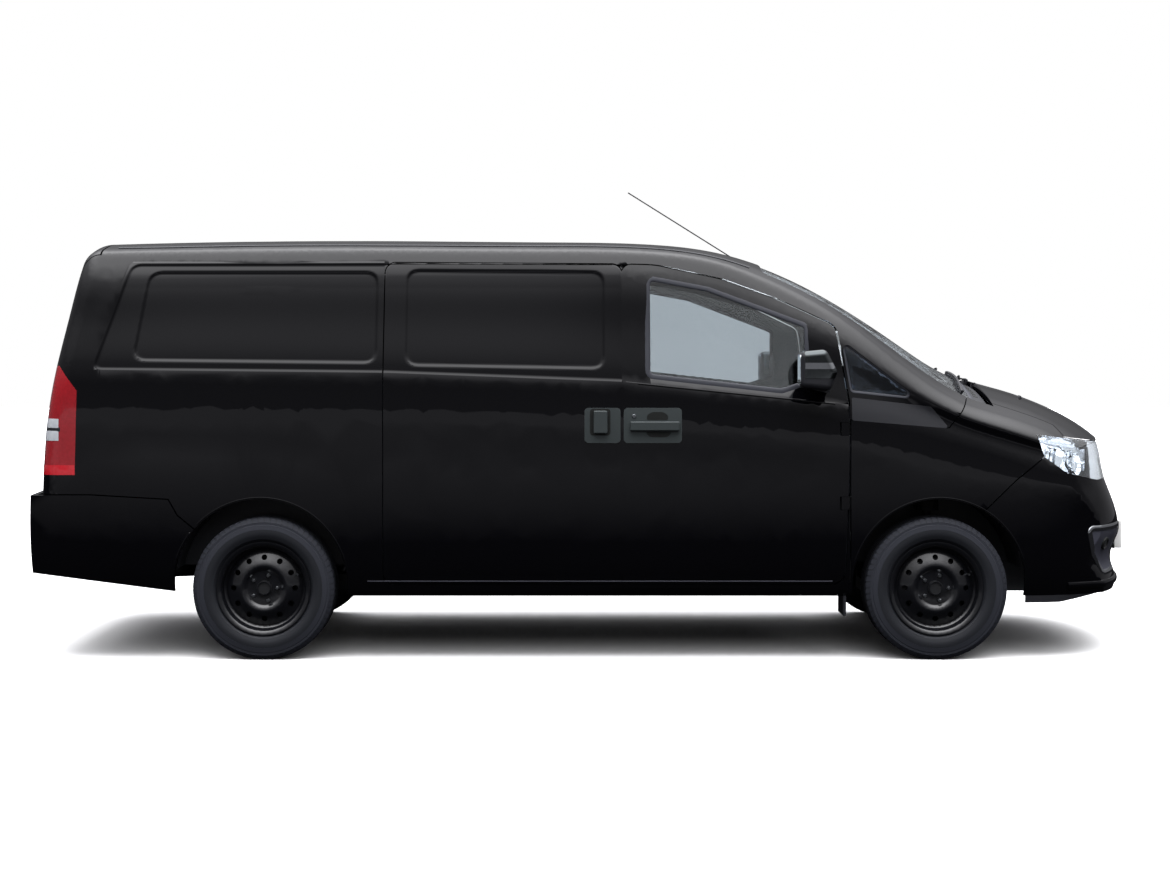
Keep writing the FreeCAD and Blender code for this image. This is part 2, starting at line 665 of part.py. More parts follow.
def rod(start, end, radius):
    """Round bar from one point to another."""
    path = Vector(*end) - Vector(*start)
    return Part.makeCylinder(radius, path.Length, Vector(*start), path)


# Body skin
parameters = []


def section(station, inset):
    """Closed cross-section at a station, moved inwards by the inset."""
    crown_z = mm(station + "_crown_z")
    rail_z = mm(station + "_rail_z")
    rail_y = mm(station + "_rail_y")
    belt_z = mm(station + "_belt_z")
    belt_y = mm(station + "_belt_y")
    square = mm(station + "_square")
    full = mm(station + "_full")
    bottom = mm("body_bottom")
    waist = mm("waist_z")
    half = [
        (belt_y - mm("sill_tuck"), bottom),
        (belt_y - mm("sill_side"), mm("sill_z")),
        (belt_y + mm("waist_swell") * 0.7, waist),
        (belt_y + mm("waist_swell"), (waist + belt_z) / 2 + 30),
        (belt_y, belt_z),
        ((belt_y + rail_y) / 2 + mm("glass_swell"), (belt_z + rail_z) / 2),
        (rail_y, rail_z),
    ]
    for share in (0.955, 0.86, 0.68, 0.36, 0.0):
        rise = (crown_z - rail_z) * (1 - share ** square) ** full
        half.append((share * rail_y, rail_z + rise))
    ring = half + [(-y, z) for y, z in half[-2::-1]]
    if inset:
        moved = []
        for i in range(len(half)):
            a = ring[max(i - 1, 0)]
            b = ring[i + 1]
            length = math.hypot(b[0] - a[0], b[1] - a[1])
            y = ring[i][0] - (b[1] - a[1]) / length * inset
            z = ring[i][1] + (b[0] - a[0]) / length * inset
            moved.append((y, z))
        moved[0] = (moved[0][0], bottom - (20 if inset > 0 else 0))
        moved[-1] = (0, moved[-1][1])
        half = moved
    x = mm(station + "_at")
    points = [Vector(x, -y, z) for y, z in half[:-1]] + [Vector(x, y, z) for y, z in half[::-1]]
    if not parameters:
        total = 0.0
        parameters.append(total)
        for a, b in zip(points, points[1:]):
            total += (b - a).Length
            parameters.append(total)
        parameters[:] = [p / total for p in parameters]
    curve = Part.BSplineCurve()
    curve.interpolate(Points=points, Parameters=parameters)
    return Part.Wire([curve.toShape(), Part.makeLine(points[-1], points[0])])


def skin(inset, first=0, last=None):
    """Solid inside the body skin, moved inwards by the inset."""
    return Part.makeLoft([section(s[0], inset) for s in STATIONS[first:last]], True, False)


def end_cutter(line, bow, turn, inset, far):
    """Everything in front of the tail, or behind the nose, moved inwards by the inset."""
    sign = 1 if far < 0 else -1
    wires = []
    for share in (-1.1, -0.93, -0.7, -0.35, 0, 0.35, 0.7, 0.93, 1.1):
        y = share * mm("half_width")
        back = bow * share ** 2 + turn * share ** 6 + inset
        ring = [Vector(mm(p[0] + "_x") - sign * back, y, mm(p[0] + "_z")) for p in line]
        curve = Part.BSplineCurve()
        curve.interpolate(ring)
        corners = [ring[-1], Vector(far, y, ring[-1].z), Vector(far, y, ring[0].z), ring[0]]
        wires.append(Part.Wire([curve.toShape()] + Part.makePolygon(corners).Edges))
    return Part.makeLoft(wires, True, False)


def tail_cutter(inset):
    return end_cutter(TAIL_LINE, mm("tail_bow"), 0, inset, FAR)


def nose_cutter(inset):
    return end_cutter(NOSE_LINE, mm("nose_bow"), mm("nose_turn"), inset, -FAR)


wall = mm("wall")
nose_wall = mm("nose_wall")
gap = mm("gap")
tail_reach = -mm("tail_bow")
outer = skin(0).common(tail_cutter(tail_reach)).common(nose_cutter(0))
tail_edges = []
for edge in outer.Edges:
    extent = edge.BoundBox
    if extent.XMax < mm("rear_crown_x") + 100 and extent.ZMax > mm("bumper_top") and extent.YLength > mm("half_width"):
        tail_edges.append(edge)
outer = outer.makeFillet(mm("tail_corner"), tail_edges)


def side_strip(points, radius, depth):
    """What a recess of some depth takes off the right-hand side."""
    return side_prism(points, radius, 0, -1200.0, -mm("roof_half")).cut(skin(depth))


band_top = []
for x in (mm("pillar_x"), mm("cab_rear_at"), mm("cab_at"), mm("header_at"), mm("door_front_x") - 55):
    band_top.append((x, along("rail_z", x) - mm("door_top_drop")))
band_line = [
    (mm("band_rear_x"), mm("belt_line_rear_z")),
    (mm("band_rear_x") + mm("band_slope"), along("rail_z", mm("band_rear_x")) - mm("door_top_drop")),
] + band_top + [
    (mm("door_front_x") + 2, along("belt_z", mm("door_front_x")) + 45),
    (mm("door_front_x") + 2, mm("belt_line_front_z")),
    (mm("pillar_x"), mm("belt_line_pillar_z")),
    (mm("slide_rear_x"), mm("belt_line_slide_z")),
]
rear_press_line = [
    (mm("rear_press_x"), mm("rear_press_low_z")),
    (mm("rear_press_x") + 60, mm("rear_press_top_z")),
    (mm("rear_press_end_x"), mm("rear_press_top_z")),
    (mm("rear_press_end_x"), mm("rear_press_low_z") - 12),
]
door_press_line = [
    (mm("door_press_x"), mm("door_press_low_z")),
    (mm("door_press_x"), mm("door_press_top_z")),
    (mm("door_press_end_x"), mm("door_press_top_z") - 8),
    (mm("door_press_end_x"), mm("door_press_low_z") - 15),
]
strips = [
    side_strip(band_line, [30, 60] + [0, 300, 300, 300, 40] + [0, 0, 0, 0], mm("band_depth")),
    side_strip(rear_press_line, mm("press_corner"), mm("band_depth") + mm("press_depth")),
    side_strip(door_press_line, mm("press_corner"), mm("band_depth") + mm("press_depth")),
]
flip = Vector(0, 1, 0)
strips += [strip.mirror(Vector(), flip) for strip in strips]
plain_skin = outer
for strip in strips:
    outer = outer.cut(strip)

cab_stations = STATIONS.index(next(s for s in STATIONS if s[0] == "cowl")) + 1
inner = skin(wall, 0, cab_stations).common(tail_cutter(tail_reach + wall))
nose_inner = skin(nose_wall).common(nose_cutter(nose_wall))
glass_sheet = skin(mm("glass_inset")).common(tail_cutter(tail_reach + mm("glass_inset")))
glass_back = mm("glass_inset") + mm("glass_wall")
glass_sheet = glass_sheet.cut(skin(glass_back).common(tail_cutter(tail_reach + glass_back)))

body_shell = outer.cut(inner)
nose_shell = outer.cut(nose_inner)

right_side = block((-FAR, FAR), (-FAR, -mm("lamp_half")), (0, FAR))
front_arch = rod((mm("front_axle_x") + mm("arch_shift"), -FAR, mm("arch_z")),
                 (mm("front_axle_x") + mm("arch_shift"), FAR, mm("arch_z")), mm("arch_radius"))
rear_arch = rod((mm("rear_axle_x") - mm("arch_shift"), -FAR, mm("arch_z")),
                (mm("rear_axle_x") - mm("arch_shift"), FAR, mm("arch_z")), mm("arch_radius"))

# Outlines in side view
door_top = []
for x in (mm("pillar_x"), mm("cab_rear_at"), mm("cab_at"), mm("header_at")):
    door_top.append((x, along("rail_z", x) - mm("door_top_drop")))
front_door_line = [(mm("pillar_x"), mm("sill_top"))] + door_top + [
    (mm("door_front_x") - 55, along("rail_z", mm("door_front_x") - 55) - mm("door_top_drop")),
    (mm("door_front_x") - 4, along("belt_z", mm("door_front_x")) + 45),
    (mm("door_front_x"), mm("door_mid_z")),
    (mm("door_front_x") - 20, mm("sill_top")),
]
slide_line = [
    (mm("slide_rear_x"), mm("sill_top")),
    (mm("slide_rear_x"), along("rail_z", mm("slide_rear_x")) - mm("door_top_drop")),
    (mm("pillar_x"), along("rail_z", mm("pillar_x")) - mm("door_top_drop")),
    (mm("pillar_x"), mm("sill_top")),
]

slide_outline = side_prism(slide_line, mm("door_corner"))
slide_opening = side_prism(slide_line, mm("door_corner"), gap)
door_radii = [mm("door_corner")] * 2 + [400] * (len(door_top) - 1) + [60, 60, 300, 60]
front_outline = side_prism(front_door_line, door_radii)
front_opening = side_prism(front_door_line, door_radii, gap)
front_opening = front_opening.fuse(front_opening.translated(Vector(mm("hinge_gap") - gap, 0, 0)))
window_line = [
    (mm("window_rear_x"), mm("window_sill_z")),
    (mm("window_rear_x"), along("rail_z", mm("window_rear_x")) - mm("front_window_drop")),
    (mm("cab_at") - 60, along("rail_z", mm("cab_at") - 60) - mm("front_window_drop")),
    (mm("window_front_x"), along("rail_z", mm("window_front_x")) - mm("front_window_drop")),
    (mm("window_front_x"), mm("window_dip_z") + 40),
    (mm("window_front_x") - 120, mm("window_dip_z")),
]
pane_line = [
    (mm("pane_x"), mm("pane_top_z")),
    (mm("pane_tip_x"), mm("pane_tip_z")),
    (mm("pane_x") + 38, mm("pane_low_z")),
]
trim_line = [
    (mm("trim_x"), mm("trim_top_z")),
    (mm("pane_tip_x") + 45, mm("trim_top_z") - 42),
    (mm("trim_tip_x"), mm("trim_tip_z")),
    (mm("trim_x"), mm("trim_low_z")),
]
wing_line = [
    (mm("door_front_x") + mm("hinge_gap"), mm("sill_top")),
    (mm("door_front_x") + mm("hinge_gap"), mm("trim_low_z")),
    (mm("trim_tip_x"), mm("trim_tip_z")),
    (mm("screen_foot_x"), mm("wing_top_z")),
    (mm("screen_foot_x"), HIGH),
    (FAR, HIGH),
    (FAR, mm("sill_top")),
]
lamp_slope = (mm("lamp_front_z") - mm("lamp_rear_z")) / (mm("nose_at") - mm("lamp_rear_x"))
lamp_line = [
    (mm("lamp_rear_x"), mm("lamp_rear_z")),
    (FAR, mm("lamp_rear_z") + lamp_slope * (FAR - mm("lamp_rear_x"))),
    (FAR, mm("lamp_low_z")),
    (mm("bonnet_front_at"), mm("lamp_low_z")),
    (mm("bonnet_middle_at") - 40, mm("lamp_low_z") + 42),
    (mm("lamp_rear_x") + 35, mm("lamp_rear_z") - 100),
]
bumper_line = [
    (FAR, mm("lamp_rear_z") + lamp_slope * (FAR - mm("lamp_rear_x"))),
    (mm("lamp_rear_x") + 35, mm("lamp_rear_z") - 100),
    (mm("split_x"), mm("split_z")),
    (mm("front_axle_x") + 200, mm("arch_z") + 320),
    (mm("front_axle_x"), mm("arch_z")),
    (mm("front_axle_x"), 100),
    (FAR, 100),
]
rear_bumper_line = [
    (-FAR, mm("bumper_top")),
    (mm("tail_lamp_x") + 60, mm("bumper_top")),
    (mm("rear_axle_x") - 420, mm("bumper_top") - 20),
    (mm("rear_axle_x") - 380, mm("bumper_top") - 90),
    (mm("rear_axle_x"), mm("arch_z")),
    (mm("rear_axle_x"), 100),
    (-FAR, 100),
]
tail_lamp_line = [
    (mm("tail_lamp_x"), mm("tail_lamp_front_z")),
    (mm("tail_lamp_x") - 10, mm("tail_lamp_low_z")),
    (-FAR, mm("tail_lamp_low_z") - 12),
    (-FAR, mm("tail_lamp_top_z") + 30),
    (mm("tail_lamp_x") - 85, mm("tail_lamp_top_z")),
]
fog_line = [
    (mm("fog_x"), mm("fog_top_z")),
    (FAR, mm("fog_top_z") - 10),
    (FAR, mm("fog_low_z")),
    (mm("fog_x") + 90, mm("fog_low_z")),
    (mm("fog_x") + 25, mm("fog_low_z") + 90),
]

# Roof, windscreen and bonnet in plan
middle_plan = [
    (-FAR, -mm("roof_half")),
    (mm("header_x"), -mm("roof_half")),
    (mm("screen_foot_x"), -mm("screen_half")),
    (mm("bonnet_rear_x") - gap, -mm("screen_half")),
    (mm("bonnet_rear_x") - gap, mm("screen_half")),
    (mm("screen_foot_x"), mm("screen_half")),
    (mm("header_x"), mm("roof_half")),
    (-FAR, mm("roof_half")),
]
screen_plan = [
    (mm("header_x"), -mm("roof_half")),
    (mm("screen_foot_x"), -mm("screen_half")),
    (mm("screen_foot_x"), mm("screen_half")),
    (mm("header_x"), mm("roof_half")),
]
bonnet_plan = [
    (mm("bonnet_rear_x"), -mm("bonnet_half")),
    (mm("bonnet_middle_at") - 60, -mm("bonnet_half")),
    (mm("bonnet_middle_at") - 10, -mm("bonnet_half") - 150),
    (FAR, -mm("bonnet_half") - 150),
    (FAR, mm("bonnet_half") + 150),
    (mm("bonnet_middle_at") - 10, mm("bonnet_half") + 150),
    (mm("bonnet_middle_at") - 60, mm("bonnet_half")),
    (mm("bonnet_rear_x"), mm("bonnet_half")),
]
above_lamps = side_prism([
    (mm("screen_low_at"), mm("lamp_rear_z") + lamp_slope * (mm("screen_low_at") - mm("lamp_rear_x")) + gap),
    (mm("screen_low_at"), HIGH),
    (FAR, HIGH),
    (FAR, mm("lamp_rear_z") + lamp_slope * (FAR - mm("lamp_rear_x")) + gap),
], 0, 0, -FAR, FAR)
above_lamps_and_gap = side_prism([
    (mm("screen_low_at"), mm("lamp_rear_z") + lamp_slope * (mm("screen_low_at") - mm("lamp_rear_x"))),
    (mm("screen_low_at"), HIGH),
    (FAR, HIGH),
    (FAR, mm("lamp_rear_z") + lamp_slope * (FAR - mm("lamp_rear_x"))),
], 0, 0, -FAR, FAR)
upper = (mm("sill_top") + 500, HIGH)
tailgate_y = (-mm("tailgate_half"), mm("tailgate_half"))
tailgate_space = block((-FAR, mm("tailgate_top_x")), tailgate_y, (mm("bumper_top") + gap, HIGH))
hole_y = (tailgate_y[0] - gap, tailgate_y[1] + gap)
tailgate_hole = block((-FAR, mm("tailgate_top_x") + mm("tailgate_gap")), hole_y, (mm("bumper_top"), HIGH))

# Side panel with its door openings
side_stock = body_shell.common(right_side)
side_stock = side_stock.cut(plan_prism(middle_plan, 0, upper[0], upper[1]))
side = side_stock.cut(Part.makeCompound([tailgate_hole, slide_opening, front_opening]))
side = side.cut(Part.makeCompound([side_prism(wing_line, 0, gap), front_arch, rear_arch]))
side = side.cut(block((mm("screen_foot_x"), FAR), (-FAR, FAR), (0, FAR)))
side = side.cut(side_prism(rear_bumper_line, 0, gap))
hinges_tall = (mm("hinge_low_z") - mm("hinge_height") / 2 - gap, mm("hinge_high_z"))
side = side.cut(block((mm("hinge_x"), mm("pillar_post_x")), (-FAR, 0), hinges_tall))
side = side.cut(Part.makeCompound([
    side_prism(pane_line, mm("pane_corner"), mm("seal")),
    side_prism(trim_line, mm("trim_corner"), mm("seal")),
    side_prism(tail_lamp_line, 0, mm("seal")),
]))
side_right = feature("side_panel_right", solids(side))
side_left = mirrored(side_right, "side_panel_left")

sliding = feature("sliding_door_right", solids(side_stock.common(slide_outline)))
mirrored(sliding, "sliding_door_left")
door = side_stock.common(front_outline).cut(side_prism(window_line, mm("window_corner"), mm("seal")))
for z in (mm("hinge_low_z"), mm("hinge_high_z")):
    pocket_z = (z - mm("hinge_height") / 2 - gap, z + mm("hinge_height") / 2 + gap)
    door = door.cut(block((mm("hinge_x") - mm("hinge_back"), FAR), (-FAR, 0), pocket_z))
    bore_low = (mm("hinge_x"), -mm("hinge_y"), pocket_z[0] - mm("pin_length") - 1)
    bore_high = (mm("hinge_x"), -mm("hinge_y"), pocket_z[1] + mm("pin_length") + 1)
    door = door.cut(rod(bore_low, bore_high, mm("pin_radius") + mm("pin_gap")))
front_door = feature("door_front_right", solids(door))
mirrored(front_door, "door_front_left")

# Roof, windscreen and cowl
roof = body_shell.common(plan_prism(middle_plan, 0, upper[0], upper[1]))
roof = roof.cut(block((mm("header_x"), FAR), (-FAR, FAR), (0, FAR))).cut(tailgate_hole)
feature("roof_panel", solids(roof))
screen_space = plan_prism(screen_plan, 0, upper[0], upper[1])
screen = glass_sheet.common(screen_space)
feature("windscreen", solids(screen))
screen_y = (-mm("screen_half"), mm("screen_half"))
cowl_space = block((mm("screen_foot_x"), mm("bonnet_rear_x") - 3 * gap), screen_y, upper)
cowl = nose_inner.cut(skin(nose_wall + mm("cowl_wall"))).common(cowl_space)
feature("cowl_panel", solids(cowl))

# Side glass
window_space = side_prism(window_line, mm("window_corner"))
door_glass = feature("door_glass_right", solids(glass_sheet.common(window_space)))
mirrored(door_glass, "door_glass_left")
pane = glass_sheet.common(side_prism(pane_line, mm("pane_corner")))
feature("quarter_glasses", both(pane))
trim = side_stock.common(side_prism(trim_line, mm("trim_corner")))
feature("quarter_trims", both(trim))

# Wings, bonnet, bumpers and lamps
lamp_space = side_prism(lamp_line, 0, 0, -FAR, -mm("lamp_half"))
lamp_hole = side_prism(lamp_line, 0, mm("seal"), -FAR, -mm("lamp_half") + mm("seal"))
bonnet_space = plan_prism(bonnet_plan).common(above_lamps)
bonnet_hole = plan_prism(bonnet_plan, gap).common(above_lamps_and_gap)
ear_half = mm("ear_width") / 2
pin_reach = ear_half + gap + mm("pin_length")
hinge_tools = []
for y in (-mm("bonnet_hinge_y"), mm("bonnet_hinge_y")):
    pocket_x = (0, mm("bonnet_hinge_x") + mm("bonnet_pocket"))
    pocket = block(pocket_x, (y - ear_half - gap, y + ear_half + gap), (0, HIGH))
    bore = rod((mm("bonnet_hinge_x"), y - pin_reach - 1, mm("bonnet_hinge_z")),
               (mm("bonnet_hinge_x"), y + pin_reach + 1, mm("bonnet_hinge_z")),
               mm("pin_radius") + mm("pin_gap"))
    hinge_tools.append(pocket.fuse(bore))
bonnet = nose_shell.common(bonnet_space)
for tool in hinge_tools:
    bonnet = bonnet.cut(tool)
feature("bonnet", solids(bonnet))
wing = nose_shell.common(side_prism(wing_line)).common(right_side)
bumper_hole = side_prism(bumper_line, 0, gap)
wing = wing.cut(Part.makeCompound([lamp_hole, bonnet_hole, front_arch, bumper_hole]))
wing = wing.cut(block((0, mm("bonnet_rear_x")), (-mm("screen_half"), 0), upper))
wing_right = feature("wing_right", solids(wing))
mirrored(wing_right, "wing_left")

bumper_space = side_prism(bumper_line, 0, 0, -FAR, FAR)
bumper = nose_shell.common(bumper_space)
grille_y = (-mm("grille_half"), mm("grille_half"))
grille_z = (mm("grille_low_z"), mm("grille_top_z"))
grille_space = block((0, FAR), grille_y, grille_z)
intake_y = (-mm("intake_half"), mm("intake_half"))
intake_z = (mm("intake_bottom_z"), mm("intake_top_z"))
intake_space = block((mm("bonnet_front_at"), FAR), intake_y, intake_z)
fog_space = side_prism(fog_line, mm("pane_corner"), 0, -mm("half_width"), -mm("fog_y"))
fog_hole = side_prism(fog_line, mm("pane_corner"), mm("seal"), -mm("half_width"), -mm("fog_y") + mm("seal"))
bumper = bumper.cut(Part.makeCompound([lamp_hole, grille_space, intake_space, front_arch, fog_hole]))
bumper = bumper.cut(Part.makeCompound([lamp_hole.mirror(Vector(), flip), fog_hole.mirror(Vector(), flip)]))
bumper = bumper.cut(above_lamps_and_gap)
tow_start = (mm("beam_x"), -mm("tow_y"), mm("tow_z"))
tow_out = (FAR, -mm("tow_y"), mm("tow_z"))
tow_way = rod(tow_start, tow_out, mm("tow_radius") + mm("tow_rim"))
bumper = bumper.cut(tow_way)
feature("front_bumper", solids(bumper))
lamp_deep = outer.cut(skin(mm("lamp_wall")).common(nose_cutter(mm("lamp_wall"))))
lamp = lamp_deep.common(lamp_space)
feature("headlamps", both(lamp))
feature("fog_surrounds", both(nose_shell.common(fog_space)))


def slots(y, z):
    """Air slots in rows and columns, with ribs between them and a border round them."""
    frame, rib = mm("grille_frame"), mm("grille_rib")
    rows, columns = int(mm("grille_rows")), int(mm("grille_columns"))
    wide = (y[1] - y[0] - 2 * frame + rib) / columns
    tall = (z[1] - z[0] - 2 * frame + rib) / rows
    cuts = []
    for row in range(rows):
        for column in range(columns):
            y_from = y[0] + frame + column * wide
            z_from = z[0] + frame + row * tall
            cuts.append(block((0, FAR), (y_from, y_from + wide - rib), (z_from, z_from + tall - rib)))
    return cuts


grille = nose_shell.common(Part.makeCompound([grille_space, intake_space]))
grille = grille.cut(Part.makeCompound(slots(grille_y, grille_z) + slots(intake_y, intake_z)))
feature("grille", solids(grille))

# Tailgate with its glass and hinge ears
tailgate = body_shell.common(tailgate_space)
pane_y = (-mm("rear_pane_half"), mm("rear_pane_half"))
pane_rear = block((-FAR, 0), pane_y, (mm("rear_pane_low_z"), mm("rear_pane_top_z")))
back_region = block((-FAR, mm("tailgate_top_x") - gap), (-FAR, FAR), (0, FAR))
tailgate = tailgate.cut(pane_rear.common(back_region))
tail_ears = []
ear_x = (mm("tailgate_hinge_x") - mm("tail_ear_back"), mm("tailgate_top_x") + mm("tailgate_gap"))
ear_z = (mm("tailgate_hinge_z") - mm("tail_ear_low"), mm("tailgate_hinge_z") + mm("ear_top"))
for side_sign in (-1, 1):
    y = side_sign * mm("tailgate_hinge_y")
    pocket_x = (mm("tailgate_hinge_x") - mm("tail_pocket"), 0)
    pocket = block(pocket_x, (y - ear_half - gap, y + ear_half + gap), (mm("bumper_top"), HIGH))
    bore_end = (mm("tailgate_hinge_x"), y - pin_reach - 1, mm("tailgate_hinge_z"))
    bore_far = (mm("tailgate_hinge_x"), y + pin_reach + 1, mm("tailgate_hinge_z"))
    bore = rod(bore_end, bore_far, mm("pin_radius") + mm("pin_gap"))
    tailgate = tailgate.cut(pocket.fuse(bore))
    ear = block(ear_x, (y - ear_half, y + ear_half), ear_z)
    pin_end = (mm("tailgate_hinge_x"), y - pin_reach, mm("tailgate_hinge_z"))
    pin_far = (mm("tailgate_hinge_x"), y + pin_reach, mm("tailgate_hinge_z"))
    tail_ears.append(ear.fuse(rod(pin_end, pin_far, mm("pin_radius"))).removeSplitter())
feature("tailgate", solids(tailgate))
feature("tailgate_glass", solids(glass_sheet.common(pane_rear).common(back_region)))
tail_lamp = side_stock.common(side_prism(tail_lamp_line)).cut(tailgate_hole)
feature("tail_lamps", both(tail_lamp))

# Rear bumper, its lower edge rising to the tail
bow = mm("bumper_bow")
bumper_inside = end_cutter(BUMPER_LINE, bow, 0, nose_wall - bow, FAR)
bumper_shape = skin(-mm("bumper_proud")).common(end_cutter(BUMPER_LINE, bow, 0, -bow, FAR))
rear_bumper = bumper_shape.cut(skin(nose_wall, 0, 9).common(bumper_inside))
rear_bumper = rear_bumper.common(side_prism(rear_bumper_line, 0, 0, -FAR, FAR)).cut(rear_arch)
lift_slope = (mm("tail_low_z") - mm("lift_z")) / (mm("lift_x") - mm("tail_low_x"))
lift = side_prism([
    (mm("rear_axle_x"), mm("lift_z") - lift_slope * (mm("rear_axle_x") - mm("lift_x"))),
    (-FAR, mm("lift_z") + lift_slope * (mm("lift_x") + FAR)),
    (-FAR, 0),
    (mm("rear_axle_x"), 0),
], 0, 0, -FAR, FAR)
rear_bumper = rear_bumper.cut(lift)
feature("rear_bumper", solids(rear_bumper))

# Floor, firewall and wheelhouses
floor_low = mm("floor_z") - mm("floor_wall")
front_arch_x = mm("front_axle_x") + mm("arch_shift")
rear_arch_x = mm("rear_axle_x") - mm("arch_shift")
house_in = mm("arch_radius") + mm("house_gap")
house_out = house_in + mm("house_wall")
cab_inside = skin(wall + gap + 1, 0, cab_stations)


def house(x, y_inner, room):
    """Right-hand wheelhouse: a half drum over the wheel, closed on its inboard side."""
    drum = rod((x, -FAR, mm("arch_z")), (x, -y_inner + mm("house_wall"), mm("arch_z")), house_out)
    hollow = rod((x, -FAR, mm("arch_z")), (x, -y_inner, mm("arch_z")), house_in)
    above = block((-FAR, FAR), (-FAR, 0), (mm("house_low_z"), HIGH))
    return drum.common(above).common(room).cut(hollow), drum.fuse(hollow)


cab_low = mm("cab_floor_z") - mm("floor_wall")
rail_low = floor_low - mm("rail_depth")
house_shells = []
house_rooms = []
for x, y, room in ((front_arch_x, mm("front_house_y"), nose_inner), (rear_arch_x, mm("rear_house_y"), inner)):
    shell, solid_drum = house(x, y, room)
    house_shells.append(shell)
    house_rooms.append(solid_drum)
    house_rooms.append(solid_drum.mirror(Vector(), flip))
all_rooms = Part.makeCompound(house_rooms)
left_shells = [shell.mirror(Vector(), flip) for shell in house_shells]
wheelhouses = Part.makeCompound(house_shells + left_shells)
feature("wheelhouses", wheelhouses)

all_y = (-FAR, FAR)
tub_x = (mm("rear_panel_x") + mm("panel_wall"), mm("partition_x"))
tub = block(tub_x, all_y, (floor_low, mm("floor_z"))).common(inner)
cab_x = (mm("partition_x"), mm("firewall_x"))
cab_floor = block(cab_x, all_y, (cab_low, mm("cab_floor_z"))).common(cab_inside)
feature("floor_pan", solids(tub.fuse(cab_floor).removeSplitter().cut(all_rooms)))

# Chassis rails with the front beam, the rear crossmember and the towing socket, a tube into the bumper's hole
rear_panel_at = (mm("rear_panel_x"), mm("rear_panel_x") + mm("panel_wall"))
rear_panel_tall = (mm("rear_panel_z"), mm("bumper_top") - gap)
rails = [block(rear_panel_at, all_y, rear_panel_tall).common(inner)]
beam_at = (mm("beam_x") - mm("beam_back"), mm("beam_x") + mm("beam_front"))
beam = block(beam_at, all_y, (rail_low, floor_low)).common(nose_inner)
firewall_front = mm("firewall_x") + mm("panel_wall")
for side_sign in (-1, 1):
    y = sorted((side_sign * mm("rear_rail_y"), side_sign * (mm("rear_rail_y") + mm("rail_width"))))
    rails.append(block((mm("rear_panel_x"), mm("partition_x")), y, (rail_low, floor_low)))
    rails.append(block((mm("partition_x"), mm("front_axle_x") - 440), y, (rail_low, cab_low)))
    rails.append(block((-FAR, mm("rear_panel_x")), y, (rail_low, floor_low)).common(bumper_inside))
    y = sorted((side_sign * mm("front_rail_y"), side_sign * (mm("front_rail_y") + mm("rail_width"))))
    rails.append(block((mm("front_axle_x") - 460, firewall_front), y, (rail_low, cab_low)))
    rails.append(block((firewall_front, FAR), y, (rail_low, floor_low)).common(nose_inner))
chassis = rails[0].fuse(rails[1:] + [beam]).removeSplitter().cut(all_rooms)
tow_line = Part.makeLine(Vector(*tow_start), Vector(*tow_out))
socket_mouth = max(v.X for v in outer.common(tow_line).Vertexes) - mm("tow_recess")
tow_back = (socket_mouth - mm("tow_length"), -mm("tow_y"), mm("tow_z"))
tow_front = (socket_mouth, -mm("tow_y"), mm("tow_z"))
chassis = chassis.fuse(rod(tow_start, tow_front, mm("tow_radius") + mm("tow_wall"))).removeSplitter()
chassis = chassis.cut(rod(tow_back, tow_out, mm("tow_radius")))
feature("chassis_rails", solids(chassis))

# Firewall with the shelf under the cowl, and the hinge posts beside the cab
firewall = block((mm("firewall_x"), firewall_front), all_y, (cab_low, mm("firewall_top_z")))
plenum_x = (mm("firewall_x"), mm("bonnet_hinge_x") + mm("plenum_front"))
plenum_y = (-mm("plenum_half"), mm("plenum_half"))
plenum = block(plenum_x, plenum_y, (mm("plenum_z") - mm("panel_wall"), mm("plenum_z")))
front_frame = [firewall.common(cab_inside), plenum]
ear_x = (mm("bonnet_hinge_x") - mm("bonnet_ear_back"), mm("bonnet_hinge_x") + mm("bonnet_ear_front"))
ear_z = (mm("plenum_z") - mm("panel_wall"), mm("bonnet_hinge_z") + mm("ear_top"))
for side_sign in (-1, 1):
    y = side_sign * mm("bonnet_hinge_y")
    front_frame.append(block(ear_x, (y - ear_half, y + ear_half), ear_z))
    front_frame.append(rod((mm("bonnet_hinge_x"), y - pin_reach, mm("bonnet_hinge_z")),
                           (mm("bonnet_hinge_x"), y + pin_reach, mm("bonnet_hinge_z")), mm("pin_radius")))
feature("firewall", solids(front_frame[0].fuse(front_frame[1:]).removeSplitter().cut(all_rooms)))
post_z = (mm("cab_floor_z"), mm("hinge_high_z") + mm("hinge_height"))
post_y = (-mm("half_width"), -mm("hinge_y") + mm("hinge_post_in"))
post_x = (mm("pillar_post_x"), mm("pillar_post_x") + mm("pillar_post_wall"))
post = block(post_x, post_y, post_z).common(cab_inside)
post = post.cut(all_rooms)

# Front door hinges: an arm from the hinge pillar and a pin into the door
hinge_parts = []
for z in (mm("hinge_low_z"), mm("hinge_high_z")):
    tall = (z - mm("hinge_height") / 2, z + mm("hinge_height") / 2)
    lug_x = (mm("hinge_x") - mm("hinge_lug"), mm("pillar_post_x") - mm("hinge_lug_front"))
    lug_y = (-mm("hinge_y") - mm("hinge_lug_out"), -mm("hinge_y") + mm("hinge_lug_in"))
    arm_y = (-mm("hinge_y") + mm("hinge_arm_out"), -mm("hinge_y") + mm("hinge_arm_in"))
    arm_part = block((mm("hinge_x") + 5, mm("pillar_post_x")), arm_y, tall)
    pin_low = (mm("hinge_x"), -mm("hinge_y"), tall[0] - gap - mm("pin_length"))
    pin_high = (mm("hinge_x"), -mm("hinge_y"), tall[1] + gap + mm("pin_length"))
    pin_part = rod(pin_low, pin_high, mm("pin_radius"))
    hinge_parts.append(block(lug_x, lug_y, tall).fuse([arm_part, pin_part]).removeSplitter())
hinge_parts = [post.fuse(hinge_parts).removeSplitter()]
